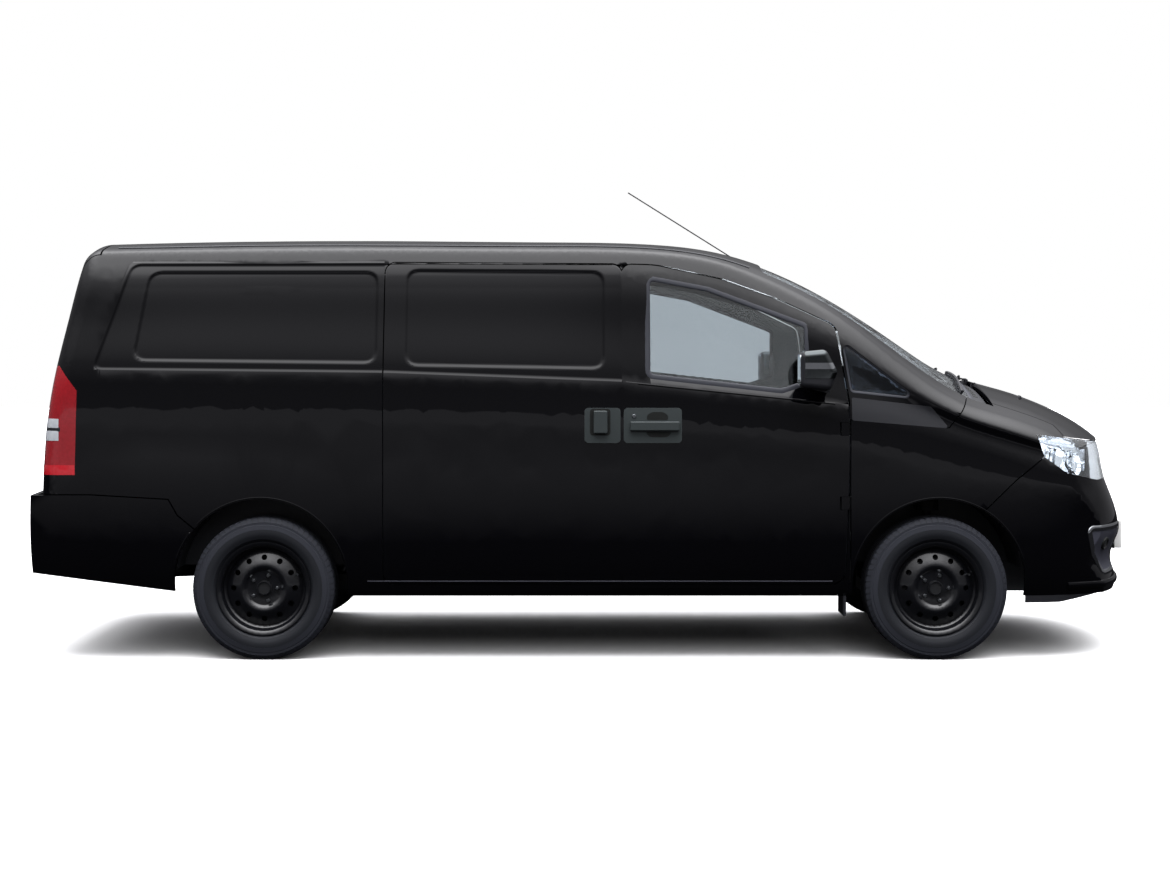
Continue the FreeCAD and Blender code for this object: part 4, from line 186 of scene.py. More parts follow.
# %% Glass and lenses
door_glass = finish_of("ToughenedTintedGlass", "glass", "C4CBD0", 0.0, (300.0, 0), ("C2C9CE", "C6CDD2"),
                       Transmission_Weight=1.0, IOR=1.45)
dark_glass = finish_of("PrivacyGlass", "glass", "5A6470", 0.0, (300.0, 0), ("586270", "5C6674"),
                       Transmission_Weight=1.0, IOR=1.45)
clear_cover = finish_of("ClearPolycarbonate", "lamp_clear", "F2F6FA", 0.02, (80.0, 0), ("EEF3F8", "F6F9FC"),
                        Transmission_Weight=1.0, IOR=1.3)
red_lens = finish_of("RedAcrylicLens", "lamp_red", "90101A", 0.12, (14.0, 0.2), ("7E0812", "A21420"),
                     Coat_Weight=0.8, Coat_Roughness=0.03)
brake_red = finish_of("BrakeRedAcrylic", "lamp_red", "C01820", 0.1, (10.0, 0.2), ("B0121C", "D02230"),
                      Coat_Weight=0.8, Coat_Roughness=0.03)
grey_lens = finish_of("FrostedAcrylicLens", "lamp_clear", "C2C6CC", 0.2, (20.0, 0.2), ("AEB2BA", "D2D6DA"),
                      Coat_Weight=0.5, Coat_Roughness=0.05)
white_lens = finish_of("FrostedWhiteLens", "lamp_clear", "E4E6EA", 0.2, (6.0, 0.2), ("D4D6DA", "F2F4F6"),
                       Coat_Weight=0.6)

# %% [markdown]
# Bright parts are plated or vapour-coated: their colour is the metal's own, and
# the grain is only the unevenness of the plating. The blank number plates and
# the painted load floor belong to the same bench of small finishes.

# %% Bright parts, plates and cloth
chrome = finish_of("BrightChrome", "chrome_trim", "C9CCD0", 0.08, (30.0, 0.02), Metallic=1.0)
smoked_chrome = finish_of("SmokedChrome", "chrome_trim", "55595A", 0.12, (30.0, 0.02), Metallic=1.0)
reflector = finish_of("AluminisedReflector", "lamp_clear", "E6E9ED", 0.16, (9.0, 0.3), Metallic=1.0)
mirror_silver = finish_of("MirrorSilver", "chrome_trim", "DDE3E8", 0.02, (200.0, 0.005), Metallic=1.0)
plate_enamel = finish_of("BlankPlateEnamel", "chrome_trim", "ECECEA", 0.35, (3.0, 0.02), ("E6E6E4", "F2F2F0"))
floor_enamel = finish_of("LoadFloorEnamel", "floor_paint", "26272B", 0.45, (6.0, 0.08), ("202125", "303136"))
seat_cloth = finish_of("WovenSeatCloth", "seat_fabric", "24252B", 0.85, Sheen_Weight=0.4, Sheen_Roughness=0.5)
print("finishes:", len(slot_for))

# %% [markdown]
# Seat cloth is a flat weave of black and charcoal yarn. Yarn is about 0.6 mm
# thick; the weave is drawn at 3 mm so that it is seen at all from outside.

# %% Weave of the seat cloth
tree = seat_cloth.node_tree
place = add(tree, "ShaderNodeTexCoord").outputs["Object"]
yarns = {"Vector": place, "Scale": 1000 / 3.0 / 6.3, "Distortion": 0.5}
warp, weft = (add(tree, "ShaderNodeTexWave", {"bands_direction": way}, yarns).outputs["Fac"] for way in "YZ")
weave = add(tree, "ShaderNodeMath", {"operation": "MULTIPLY"}, {0: warp, 1: weft}).outputs["Value"]
relief = add(tree, "ShaderNodeBump", None, {"Strength": 0.6, "Distance": 0.0008, "Height": weave})
shader = tree.nodes["Principled BSDF"].inputs
tree.links.new(blend(tree, weave, linear("17181C"), linear("34363E")), shader["Base Color"])
tree.links.new(relief.outputs["Normal"], shader["Normal"])
print("nodes in the cloth:", len(tree.nodes))

# %% [markdown]
# The studio is a bright ceiling over dimmer walls: black lacquer only looks
# black when something in the room is darker than the ceiling. The camera itself
# looks at white. Two soft lamps, one overhead and one beside the camera, light
# the van at a plain level.


# %% The room and its lamps
def link(thing):
    """Puts a new object in the scene."""
    bpy.context.scene.collection.objects.link(thing)
    return thing


def lamp(name, kind, power):
    """A lamp that lights the van but isn't seen in its lacquer."""
    data = bpy.data.lights.new(name, kind)
    data.energy = power
    holder = link(bpy.data.objects.new(name, data))
    holder.visible_glossy = False
    return holder


world = bpy.data.worlds.new("Studio")
bpy.context.scene.world = world
world.use_nodes = True
tree = world.node_tree
direction = add(tree, "ShaderNodeTexCoord").outputs["Generated"]
height = add(tree, "ShaderNodeSeparateXYZ", None, {"Vector": direction}).outputs["Z"]
rise = add(tree, "ShaderNodeValToRGB", None, {"Fac": height})
ramp = rise.color_ramp.elements
ramp[0].position, ramp[0].color = 0.0, (0.15, 0.15, 0.16, 1)
ramp[1].position, ramp[1].color = 0.85, (4.0, 4.0, 4.1, 1)
for position, level in ((0.15, 0.13), (0.35, 0.32), (0.6, 1.1)):
    ramp.new(position).color = (level, level, level * 1.04, 1)
seen = blend(tree, straight_rays(tree), rise.outputs["Color"], (1, 1, 1, 1))
tree.links.new(seen, tree.nodes["Background"].inputs["Color"])

overhead = lamp("overhead", "SUN", 2.6)
overhead.data.angle = math.radians(45)
overhead.rotation_euler = (math.radians(13), 0, 0)
beside = lamp("beside_camera", "AREA", 160)
beside.data.shape = "RECTANGLE"
beside.data.size, beside.data.size_y = 7.0, 3.0
beside.location = (1.5, -9.0, 5.0)
beside.rotation_euler = (Vector((0, 0, 0.6)) - Vector((1.5, -9.0, 5.0))).to_track_quat("-Z", "Y").to_euler()
print("lamps:", len(bpy.data.lights))

# %% [markdown]
# The floor is white paper to the camera and through glass. To every other ray
# its colour is painted dark near the van and lighter far off: painted shade,
# which the lacquer reflects and which dims the light thrown back onto the van.

# %% Floor
bpy.ops.mesh.primitive_plane_add(size=80, location=(0, 0, 0))
floor = bpy.context.object
floor.name = "floor"
paper = finish_of("PaleFloorWithPaintedShade", "", "F4F4F4", 0.9, Specular_IOR_Level=0.0)
tree = paper.node_tree
place = add(tree, "ShaderNodeTexCoord").outputs["Object"]
away = add(tree, "ShaderNodeSeparateXYZ", None, {"Vector": place}).outputs["Y"]
painted_shade_fade = add(tree, "ShaderNodeMapRange", None, {"Value": away, "From Min": -4.0, "From Max": -16.0})
# Painted shade: dark near the van, lighter far off, for all but camera and glass rays.
painted_shade_floor = blend(tree, painted_shade_fade.outputs["Result"], linear("121213"), linear("68686A"))
shade = blend(tree, straight_rays(tree), painted_shade_floor, linear("F4F4F4"))
tree.links.new(shade, tree.nodes["Principled BSDF"].inputs["Base Color"])
floor.data.materials.append(paper)
print("floor side, m:", round(floor.dimensions.x))

# %% [markdown]
# The photograph is a level side view from about nine metres. The camera stands
# just above the belt line, and the lens is shifted down a little, which keeps
# the uprights upright.

# %% Camera
view = bpy.data.cameras.new("Camera")
camera = link(bpy.data.objects.new("Camera", view))
camera.location = (-0.056, -9.66, 1.367)
camera.rotation_euler = (math.radians(90), 0, 0)
view.lens, view.sensor_width = 61.0, 36
view.shift_x, view.shift_y = 0.0085, -0.073
view.clip_end = 100
bpy.context.scene.camera = camera
bpy.context.scene.view_settings.view_transform = "Standard"
print("camera at", tuple(camera.location[:]), " lens, mm:", view.lens)

# %% [markdown]
# Parts of the frame that already have the right shape keep it and get a better
# material. The lacquered panels also need smooth shading, so a welded copy of
# each one stands for it: its points are joined, and only true edges stay sharp.


# %% Finish the frame's own parts
def dress(name, material):
    """Puts a material on a part of the frame."""
    slots = nodes[name].data.materials
    slots.clear()
    slots.append(material)


def welded(data, reach=2e-5):
    """The mesh as a bmesh, with the points that lie on one another joined."""
    shape = bmesh.new()
    shape.from_mesh(data)
    bmesh.ops.remove_doubles(shape, verts=shape.verts, dist=reach)
    return shape


def smoothed(data, shape, material, angle):
    """Writes a bmesh back, smooth but for edges over `angle`, with its material."""
    shape.to_mesh(data)
    shape.free()
    data.shade_smooth()
    data.set_sharp_from_angle(angle=math.radians(angle))
    data.materials.clear()
    data.materials.append(material)


def smooth_copy(name, material, angle=32):
    """A welded copy of a part, shaded smooth, that stands for it."""
    data = nodes[name].data.copy()
    skin_piece = link(bpy.data.objects.new(name + "_skin", data))
    smoothed(data, welded(data), material, angle)
    even_out = skin_piece.modifiers.new("even_out", "WEIGHTED_NORMAL")
    even_out.weight = 100
    even_out.keep_sharp = True
    graph = bpy.context.evaluated_depsgraph_get()
    smooth = bpy.data.meshes.new_from_object(skin_piece.evaluated_get(graph), preserve_all_data_layers=True,
                                             depsgraph=graph)
    skin_piece.modifiers.clear()
    skin_piece.data = smooth
    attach(skin_piece, body_of[name])
    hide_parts(name)


frame_finishes = (rubber, rim_enamel, door_glass, clear_cover, red_lens, black_trim, chrome, nylon, seat_cloth,
                  floor_enamel, chassis_paint, cast_metal, enamel)
finish_for = {slot_for[finish.name]: finish for finish in frame_finishes}
for name in nodes:
    dress(name, finish_for[slot_of[name]])
panels = [name for name in nodes if slot_of[name] == "body_paint"]
for name in panels:
    smooth_copy(name, enamel)
for name in nodes:
    if name.startswith("rim_") or name in ("quarter_trims", "mud_flaps", "spare_wheel", "cowl_panel", "dashboard"):
        smooth_copy(name, finish_for[slot_of[name]], 28)
print("lacquered panels:", len(panels))

# %% [markdown]
# Every added piece has to lie on the van, seen from any side. So the outer skin
# of the frame is put into one search tree, and a ray from the side, the front,
# the back or above finds the spot on it, with the direction the skin faces.

# %% Feel for the skin
FAR = 4.0
MOVING = ("wheel", "knuckle", "steering")
STICKING_OUT = ("door_handle", "sliding_door_h", "mirror", "antenna")


def search_tree(names):
    """The faces of some parts, ready for rays."""
    points, faces = [], []
    for name in names:
        first = len(points)
        points += [vertex.co.copy() for vertex in nodes[name].data.vertices]
        faces += [[first + i for i in face.vertices] for face in nodes[name].data.polygons]
    return BVHTree.FromPolygons(points, faces)


skin = search_tree([n for n in nodes if not (body_of[n].startswith(MOVING) or n.startswith(STICKING_OUT))])


def touch(start, way):
    """Where a ray first meets the van, and the way the skin faces there."""
    way = Vector(way)
    spot, facing, _, _ = skin.ray_cast(Vector(start), way)
    if spot is None:
        return None
    return spot, (facing if facing.dot(way) < 0 else -facing)


def on_side(x, z):
    return touch((x, -FAR, z), (0, 1, 0))


def on_nose(y, z):
    return touch((FAR, y, z), (-1, 0, 0))


def on_tail(y, z):
    return touch((-FAR, y, z), (1, 0, 0))


def on_top(x, y):
    return touch((x, y, FAR), (0, 0, -1))


def traced(feel, places):
    """The spots that rays find at some places; a ray that misses is left out."""
    return [spot for spot in (feel(*place) for place in places) if spot]


def lifted(line, height):
    """The same line of spots, raised off the skin."""
    return [(spot + facing * height, facing) for spot, facing in line]


def short(values):
    """Numbers rounded for printing."""
    return [round(value, 3) for value in values]


print("door skin at the belt:", short(on_side(0.6, 1.0)[0]))

# %% [markdown]
# Three ways of making a piece do most of the work: a bead swept along a line on
# the skin, a slab that fills an outline on the skin, and a lathed ring. Each
# returns plain points and faces; `piece` turns them into an object.

# %% Turn points and faces into pieces
DOORS = ("door_right", "door_left")


def piece(name, made, material, body="body", angle=35):
    """One finished object from points and faces, riding a body."""
    data = bpy.data.meshes.new(name)
    data.from_pydata([tuple(p) for p in made[0]], [], made[1])
    shape = welded(data, 1e-5)
    bmesh.ops.recalc_face_normals(shape, faces=shape.faces)
    smoothed(data, shape, material, angle)
    made_piece = link(bpy.data.objects.new(name, data))
    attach(made_piece, body)
    return made_piece


def merged(*parts):
    """Several shapes as one list of points and one of faces."""
    points, faces = [], []
    for part_points, part_faces in parts:
        faces += [[len(points) + i for i in face] for face in part_faces]
        points += list(part_points)
    return points, faces


def flipped(made):
    """The same on the left: the van is built alike on both sides."""
    return [Vector((p[0], -p[1], p[2])) for p in made[0]], [face[::-1] for face in made[1]]


def pair(name, made, material, bodies=("body", "body"), angle=35):
    """A piece on both sides: one object on one body, or one for each body."""
    right, left = bodies
    if right == left:
        return piece(name, merged(made, flipped(made)), material, right, angle)
    piece(name + "_right", made, material, right, angle)
    return piece(name + "_left", flipped(made), material, left, angle)


# %% [markdown]
# A bead is a small profile swept along a line of spots on the skin: a seal, a
# moulding, a plated frame. The line is first cut into even steps, so that the
# bead's net has the same fineness everywhere.


# %% Beads along a line
def even(line, step, closed):
    """The same line with evenly spaced points; each point is (place, facing)."""
    line = list(line) + ([line[0]] if closed else [])
    gone = [0.0]
    for a, b in zip(line, line[1:]):
        gone.append(gone[-1] + (b[0] - a[0]).length)
    count = max(4, round(gone[-1] / step))
    out, at = [], 0
    for k in range(count if closed else count + 1):
        want = gone[-1] * k / count
        while at < len(gone) - 2 and gone[at + 1] < want:
            at += 1
        share = (want - gone[at]) / max(gone[at + 1] - gone[at], 1e-9)
        place = line[at][0].lerp(line[at + 1][0], share)
        out.append((place, line[at][1].lerp(line[at + 1][1], share).normalized()))
    return out


def bead(line, profile, closed=False, step=0.012):
    """Sweeps a small profile (across, out) along a line on the skin."""
    line = even(line, step, closed)
    points, faces, wide, n = [], [], len(profile), len(line)
    for k, (place, facing) in enumerate(line):
        before = line[k - 1][0] if closed or k else place
        after = line[(k + 1) % n][0] if closed or k < n - 1 else place
        across = (after - before).normalized().cross(facing).normalized()
        points += [place + across * u + facing * v for u, v in profile]
    for k in range(n if closed else n - 1):
        a, b = k * wide, (k + 1) % n * wide
        faces += [[a + i, a + (i + 1) % wide, b + (i + 1) % wide, b + i] for i in range(wide)]
    if not closed:
        faces += [list(range(wide)), list(range((n - 1) * wide, n * wide))]
    return points, faces


def half_round(width, height, sunk=0.002):
    """A low rounded profile, with its foot a little inside the skin."""
    turns = [math.pi * k / 6 for k in range(7)]
    arc = [(-math.cos(turn) * width / 2, math.sin(turn) * height) for turn in turns]
    return [(-width / 2, -sunk)] + arc + [(width / 2, -sunk)]


def outline_of(name, faces_out):
    """The closed outline of a part's outer face, with the way the face looks."""
    shape = welded(nodes[name].data)
    shape.normal_update()
    chosen = {face for face in shape.faces if faces_out(face)}
    rim = [edge for edge in shape.edges if sum(face in chosen for face in edge.link_faces) == 1]
    facing, links = {}, {}
    for edge in rim:
        face = next(f for f in edge.link_faces if f in chosen)
        for vertex in edge.verts:
            facing.setdefault(vertex.index, Vector())
            facing[vertex.index] += face.normal
            links.setdefault(vertex.index, []).append(edge.other_vert(vertex))
    shape.verts.ensure_lookup_table()
    loops, used = [], set()
    for start in links:
        if start in used:
            continue
        loop, here = [], start
        while here is not None:
            used.add(here)
            loop.append((shape.verts[here].co.copy(), facing[here].normalized()))
            here = next((v.index for v in links[here] if v.index not in used), None)
        loops.append(loop)
    shape.free()
    return max(loops, key=lambda loop: sum((b[0] - a[0]).length for a, b in zip(loop, loop[1:])))


def right_and_out(face):
    """True for the outer faces of a part on the right side."""
    return face.normal.y < -0.25 and face.calc_center_median().y < 0


# %% [markdown]
# A slab fills an outline that is drawn flat, as (x, z) or (y, z), and is then
# laid on the skin point by point. A net of even triangles inside the outline
# lets it follow a curved panel.


# %% Slabs that fill an outline
def rounded(corners, radius, steps=5):
    """A polygon with its corners rounded."""
    out = []
    for k, here in enumerate(corners):
        here = Vector(here)
        a, b = Vector(corners[k - 1]) - here, Vector(corners[(k + 1) % len(corners)]) - here
        reach = min(radius, a.length * 0.45, b.length * 0.45)
        start, end = here + a.normalized() * reach, here + b.normalized() * reach
        for t in (i / steps for i in range(steps + 1)):
            out.append(start * (1 - t) ** 2 + here * 2 * t * (1 - t) + end * t ** 2)
    return out


def box_outline(x0, y0, x1, y1, radius=0.006):
    return rounded([(x0, y0), (x1, y0), (x1, y1), (x0, y1)], radius)


def holds(outline, spot):
    """True where a flat outline holds a spot: a line from it crosses an odd count."""
    inside = False
    for a, b in zip(outline, outline[1:] + outline[:1]):
        if (a.y > spot.y) != (b.y > spot.y) and spot.x < (b.x - a.x) * (spot.y - a.y) / (b.y - a.y) + a.x:
            inside = not inside
    return inside


def slab(outline, project, low, high, step=0.02):
    """Fills an outline on the skin from a height `low` to `high` above it."""
    rim = []
    for a, b in zip(outline, outline[1:] + outline[:1]):
        parts = max(1, round((Vector(b) - Vector(a)).length / step))
        rim += [Vector(a).lerp(Vector(b), i / parts) for i in range(parts)]
    xs, ys, count = [p.x for p in rim], [p.y for p in rim], len(rim)
    flat = list(rim)
    for i in range(1, int((max(xs) - min(xs)) / step) + 1):
        for k in range(1, int((max(ys) - min(ys)) / step) + 1):
            spot = Vector((min(xs) + i * step, min(ys) + k * step))
            if holds(rim, spot) and min((spot - p).length for p in rim) > step * 0.5:
                flat.append(spot)
    net = delaunay_2d_cdt(flat, [(i, (i + 1) % count) for i in range(count)], [], 1, 1e-6)
    hits = [project(*p) for p in net[0]]
    known = next(hit for hit in hits if hit)
    hits = [hit or known for hit in hits]
    n = len(hits)
    points = [spot + facing * lift for lift in (high, low) for spot, facing in hits]
    upper = [list(face) for face in net[2]]
    edges = [edge for face in upper for edge in zip(face, face[1:] + face[:1])]
    inner = set(edges)
    walls = [[a, b, n + b, n + a] for a, b in edges if (b, a) not in inner]
    return points, upper + [[n + i for i in reversed(face)] for face in upper] + walls


# %% [markdown]
# Round things are turned on a lathe: a profile of (radius, distance along the
# axle) goes once round the Y axis, as the wheels do.


# %% Lathed rings
def lathe(profile, steps=96, closed=True):
    """Turns a profile of (radius, y) about the Y axis."""
    points, faces, n = [], [], len(profile)
    for k in range(steps):
        turn = 2 * math.pi * k / steps
        points += [Vector((r * math.cos(turn), y, r * math.sin(turn))) for r, y in profile]
    for k in range(steps):
        a, b = k * n, (k + 1) % steps * n
        for i in range(n if closed else n - 1):
            faces.append([a + i, b + i, b + (i + 1) % n, a + (i + 1) % n])
    return points, faces


def moved(made, by):
    return [p + Vector(by) for p in made[0]], made[1]


def turned_to(made, way, place):
    """Turns a lathed shape so that its -Y side looks along `way`, and places it."""
    turn = Vector((0, -1, 0)).rotation_difference(Vector(way).normalized()).to_matrix()
    return [turn @ p + Vector(place) for p in made[0]], made[1]


# %% [markdown]
# What repeats on a circle is made once and repeated by Geometry Nodes: tread
# blocks and wheel nuts. The points of the circle all lie on the axle, and each
# copy is only turned.

# %% Rings with Geometry Nodes
SOCKETS = (("Geometry", "NodeSocketGeometry", "INPUT"), ("Piece", "NodeSocketObject", "INPUT"),
           ("Count", "NodeSocketInt", "INPUT"), ("Step", "NodeSocketVector", "INPUT"),
           ("Finish", "NodeSocketMaterial", "INPUT"), ("Geometry", "NodeSocketGeometry", "OUTPUT"))
ring = bpy.data.node_groups.new("ring_of_copies", "GeometryNodeTree")
for label, kind, way in SOCKETS:
    ring.interface.new_socket(label, in_out=way, socket_type=kind)
given = add(ring, "NodeGroupInput").outputs
line = add(ring, "GeometryNodeMeshLine", None, {"Count": given["Count"], "Offset": (0, 0, 0)})
item = add(ring, "GeometryNodeObjectInfo", None, {"Object": given["Piece"]})
index = add(ring, "GeometryNodeInputIndex")
turn = add(ring, "ShaderNodeVectorMath", {"operation": "SCALE"}, {0: given["Step"], "Scale": index.outputs["Index"]})
copies = {"Points": line.outputs["Mesh"], "Instance": item.outputs["Geometry"], "Rotation": turn.outputs["Vector"]}
placed = add(ring, "GeometryNodeInstanceOnPoints", None, copies)
real = add(ring, "GeometryNodeRealizeInstances", None, {"Geometry": placed.outputs["Instances"]})
done = {"Geometry": real.outputs["Geometry"], "Material": given["Finish"]}
finished = add(ring, "GeometryNodeSetMaterial", None, done)
add(ring, "NodeGroupOutput", None, {0: finished.outputs["Geometry"]})


def ring_of(made, count, material):
    """Runs the node group on one shape and gives back its points and faces."""
    data = bpy.data.meshes.new("single")
    data.from_pydata([tuple(p) for p in made[0]], [], made[1])
    single = link(bpy.data.objects.new("single", data))
    carrier = link(bpy.data.objects.new("carrier", bpy.data.meshes.new("carrier")))
    modifier = carrier.modifiers.new("copies", "NODES")
    modifier.node_group = ring
    ids = {item.name: item.identifier for item in ring.interface.items_tree if item.in_out == "INPUT"}
    step = (0, 2 * math.pi / count, 0)
    for label, value in (("Piece", single), ("Count", count), ("Step", step), ("Finish", material)):
        modifier[ids[label]] = value
    baked = bpy.data.meshes.new_from_object(carrier.evaluated_get(bpy.context.evaluated_depsgraph_get()))
    out = [v.co.copy() for v in baked.vertices], [list(f.vertices) for f in baked.polygons]
    for helper in (carrier, single):
        bpy.data.objects.remove(helper)
    return out


print("nodes in the ring:", len(ring.nodes))

# %% [markdown]
# **Wheels.** The tyre is lathed: bead, sidewall with its rim guard, shoulder,
# and a tread with four rain grooves. Lateral grooves cut the shoulders into
# blocks. Seventy-two of each go round, as on a summer tyre of this size.

# %% Tyre
TYRE_STEPS, BLOCKS = 144, 72
side_profile = [(0.190, 0.070), (0.199, 0.0745), (0.2085, 0.0755), (0.2155, 0.083), (0.222, 0.0905), (0.228, 0.0925),
                (0.236, 0.0955), (0.246, 0.0972), (0.260, 0.0968), (0.274, 0.0945), (0.284, 0.0925), (0.2865, 0.0900),
                (0.2905, 0.0905), (0.300, 0.0870), (0.3085, 0.0815), (0.3130, 0.0760)]
tread = [(0.3155, 0.070), (0.3162, 0.0560), (0.3092, 0.0545), (0.3092, 0.0475), (0.3166, 0.0460), (0.3168, 0.0230),
         (0.3092, 0.0215), (0.3092, 0.0135), (0.3169, 0.0120)]
inner_wall = [(0.196, 0.060), (0.205, 0.030), (0.205, -0.030), (0.196, -0.060)]
sheen_band_profile = [(0.264, 0.0971), (0.274, 0.0950), (0.2842, 0.0930), (0.2866, 0.0905), (0.2906, 0.0910), (0.2990, 0.0880),
           (0.2960, 0.0850), (0.264, 0.0930)]
notch = [(0.3142, 0.0785), (0.3172, 0.0700), (0.3178, 0.0568), (0.3105, 0.0568), (0.3070, 0.0700), (0.2950, 0.0880),
         (0.2960, 0.0912)]


def mirrored(profile):
    """A profile's near side, then its far side backwards."""
    return [(r, -y) for r, y in profile], [(r, y) for r, y in reversed(profile)]


def block(side, turn_from, turn_to, lean):
    """One shoulder block: the notch profile between two angles."""
    points, n = [], len(notch)
    for turn in (turn_from, turn_to):
        for r, y in notch:
            angle = turn + lean * (0.08 - y)
            points.append(Vector((r * math.cos(angle), side * y, r * math.sin(angle))))
    faces = [[i, (i + 1) % n, n + (i + 1) % n, n + i] for i in range(n)] + [list(range(n)), list(range(n, 2 * n))]
    return points, faces


near_half, far_half = mirrored(side_profile + tread)
tyre_shape = lathe(near_half + far_half + inner_wall, TYRE_STEPS)
pitch = 2 * math.pi / BLOCKS
shoulders = merged(block(-1, 0, pitch * 0.78, 1.2), block(1, pitch * 0.4, pitch * 1.18, -1.2))
shoulder_ring = ring_of(shoulders, BLOCKS, sheen_painted_rubber)
# A thin lighter band all round the upper sidewall: painted sheen.
bands = merged(*(lathe(half, TYRE_STEPS) for half in mirrored(sheen_band_profile)))
corners = ["front_right", "rear_right", "front_left", "rear_left"]
centre_of = {}
for corner in corners:
    low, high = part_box("tyre_" + corner)
    centre = centre_of[corner] = (Vector(low) + Vector(high)) / 2
    wheel = "wheel_" + corner
    new_tyre = piece("tread_tyre_" + corner, moved(tyre_shape, centre), rubber, wheel, 30)
    piece("tyre_shoulders_" + corner, moved(merged(shoulder_ring, bands), centre), sheen_painted_rubber, wheel, 30)
    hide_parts("tyre_" + corner)
print("faces of one tyre:", len(tyre_shape[1]) + len(shoulder_ring[1]) + len(bands[1]))

# %% [markdown]
# The pressed wheel comes from the frame with its twelve vent holes. It gets five
# nuts on their circle, the open cap on the hub and a valve, which here shares
# the nuts' zinc finish. A brake drum stands behind the vents.

# %% Nuts, hub caps and valves
NUT_CIRCLE, NUT_RADIUS, NUT_TAPER = 0.0585, 0.0095, 0.62
turns = [math.radians(60 * k) for k in range(6)]
foot_ring = [Vector((NUT_RADIUS * math.cos(t) + NUT_CIRCLE, 0, NUT_RADIUS * math.sin(t))) for t in turns]
nut_points = foot_ring + [p + Vector((0, -0.013, 0)) for p in foot_ring]
nut_points += [Vector((NUT_CIRCLE + (p.x - NUT_CIRCLE) * NUT_TAPER, -0.018, p.z * NUT_TAPER)) for p in foot_ring]
nut_faces = [[a + i, a + (i + 1) % 6, a + 6 + (i + 1) % 6, a + 6 + i] for a in (0, 6) for i in range(6)]
nut_faces += [list(range(12, 18)), list(range(6))]
nuts = ring_of((nut_points, nut_faces), 5, chrome)
cap = lathe([(0.031, 0.004), (0.0325, -0.010), (0.0300, -0.016), (0.0265, -0.016), (0.0245, -0.007), (0, -0.005),
             (0, 0.004)], 48, closed=False)
drum = lathe([(0.030, 0.052), (0.148, 0.052), (0.160, 0.060), (0.160, 0.066), (0.146, 0.058), (0.030, 0.058)], 72)
valve = lathe([(0, 0.0), (0.0046, 0.0), (0.0046, -0.020), (0.0036, -0.026), (0.0036, -0.034), (0, -0.034)], 16,
              closed=False)
wheel_extras = (("wheel_nuts_", merged(nuts, moved(valve, (0.150, 0.02, 0.060))), zinc, 30),
                ("brake_drum_", drum, chassis_paint, 40), ("hub_cap_", cap, rim_enamel, 40))
for corner in corners:
    centre, outward = centre_of[corner], (-1 if "right" in corner else 1)
    start = centre + Vector((NUT_CIRCLE, outward, 0))
    seat = search_tree(["rim_" + corner]).ray_cast(start, Vector((0, -outward, 0)))[0]
    place = Vector((centre.x, seat.y, centre.z))
    for word, made, material, angle in wheel_extras:
        sided = flipped(made) if outward > 0 else made
        piece(word + corner, moved(sided, place), material, "wheel_" + corner, angle)
print("wheel nuts stand at y =", round(place.y, 3))

# %% [markdown]
# **Pressed side panels.** The window band is a recess in the side, and each blind
# window is a second, deeper one with rounded corners. Soft pressed edges need a
# finer net than the frame's flat facets give, so a smooth surface is fitted
# through points of the frame's own side, and the two recesses are sunk into it.

# %% Fit the plain side surface
belt = [(0.600, 1.221), (-0.908, 1.278), (-2.208, 1.291)]
band = rounded([(-2.053, 1.770), (0.600, 1.776)] + belt, 0.045)
tall_band = rounded([(-1.900, 1.950), (0.600, 1.950)] + belt, 0.045)
blind_windows = [
    rounded([(-2.031, 1.331), (-1.971, 1.735), (-0.938, 1.735), (-0.938, 1.319)], 0.06),
    rounded([(-0.815, 1.309), (-0.815, 1.745), (0.077, 1.737), (0.077, 1.294)], 0.06),
]
SHUT_LINE_X, EDGE_CLEAR, SHUT_CLEAR, LEAST_MISS = -0.910, 0.010, 0.012, 0.0008


def inside_by(outline, x, z):
    """How far points lie inside an outline; less than zero outside it."""
    nearest, crossed = np.full(x.shape, 9.0), np.zeros(x.shape, int)
    for (ax, az), (bx, bz) in zip(outline, outline[1:] + outline[:1]):
        along = ((x - ax) * (bx - ax) + (z - az) * (bz - az)) / ((bx - ax) ** 2 + (bz - az) ** 2 + 1e-12)
        share = np.clip(along, 0, 1)
        nearest = np.minimum(nearest, np.hypot(x - ax - share * (bx - ax), z - az - share * (bz - az)))
        if az != bz:
            crossed += ((az > z) != (bz > z)) & (x < (bx - ax) * (z - az) / (bz - az) + ax)
    return np.where(crossed % 2 == 1, nearest, -nearest)


def powers(x, z):
    """Terms of a smooth surface over the side."""
    across, up = (x + 1.0) / 1.2, (z - 1.48) / 0.3
    return np.stack([across ** i * up ** k for i in range(5) for k in range(8)], -1)


grid_x, grid_z = (axis.ravel() for axis in np.meshgrid(np.arange(-2.24, 0.14, 0.02), np.arange(1.20, 1.765, 0.012)))
depths = np.stack([inside_by(outline, grid_x, grid_z) for outline in [band] + blind_windows])
clear = (np.abs(depths).min(0) > EDGE_CLEAR) & (np.abs(grid_x - SHUT_LINE_X) > SHUT_CLEAR)
grid_x, grid_z, depths = grid_x[clear], grid_z[clear], depths[:, clear]
found = [on_side(x, z) for x, z in zip(grid_x, grid_z)]
good = np.array([spot is not None and abs(spot[0].z - z) < 1e-4 and spot[0].y > -0.87
                 for spot, z in zip(found, grid_z)])
recesses = ((depths[0] > 0) * 1.0 + (depths[1:].max(0) > 0))[good]
terms = np.column_stack([powers(grid_x[good], grid_z[good]), recesses])
values = np.array([spot[0].y for spot, ok in zip(found, good) if ok])
for _ in range(4):
    answer = np.linalg.lstsq(terms, values, rcond=None)[0]
    miss = np.abs(terms @ answer - values)
    close = miss < max(LEAST_MISS, 3 * np.median(miss))
    terms, values = terms[close], values[close]
*surface, recess_depth = answer
print("points fitted:", len(values), "of", int(good.sum()), " typical miss, mm:",
      round(float(np.median(miss)) * 1000, 3), " depth of one recess, mm:", round(float(recess_depth) * 1000, 2))

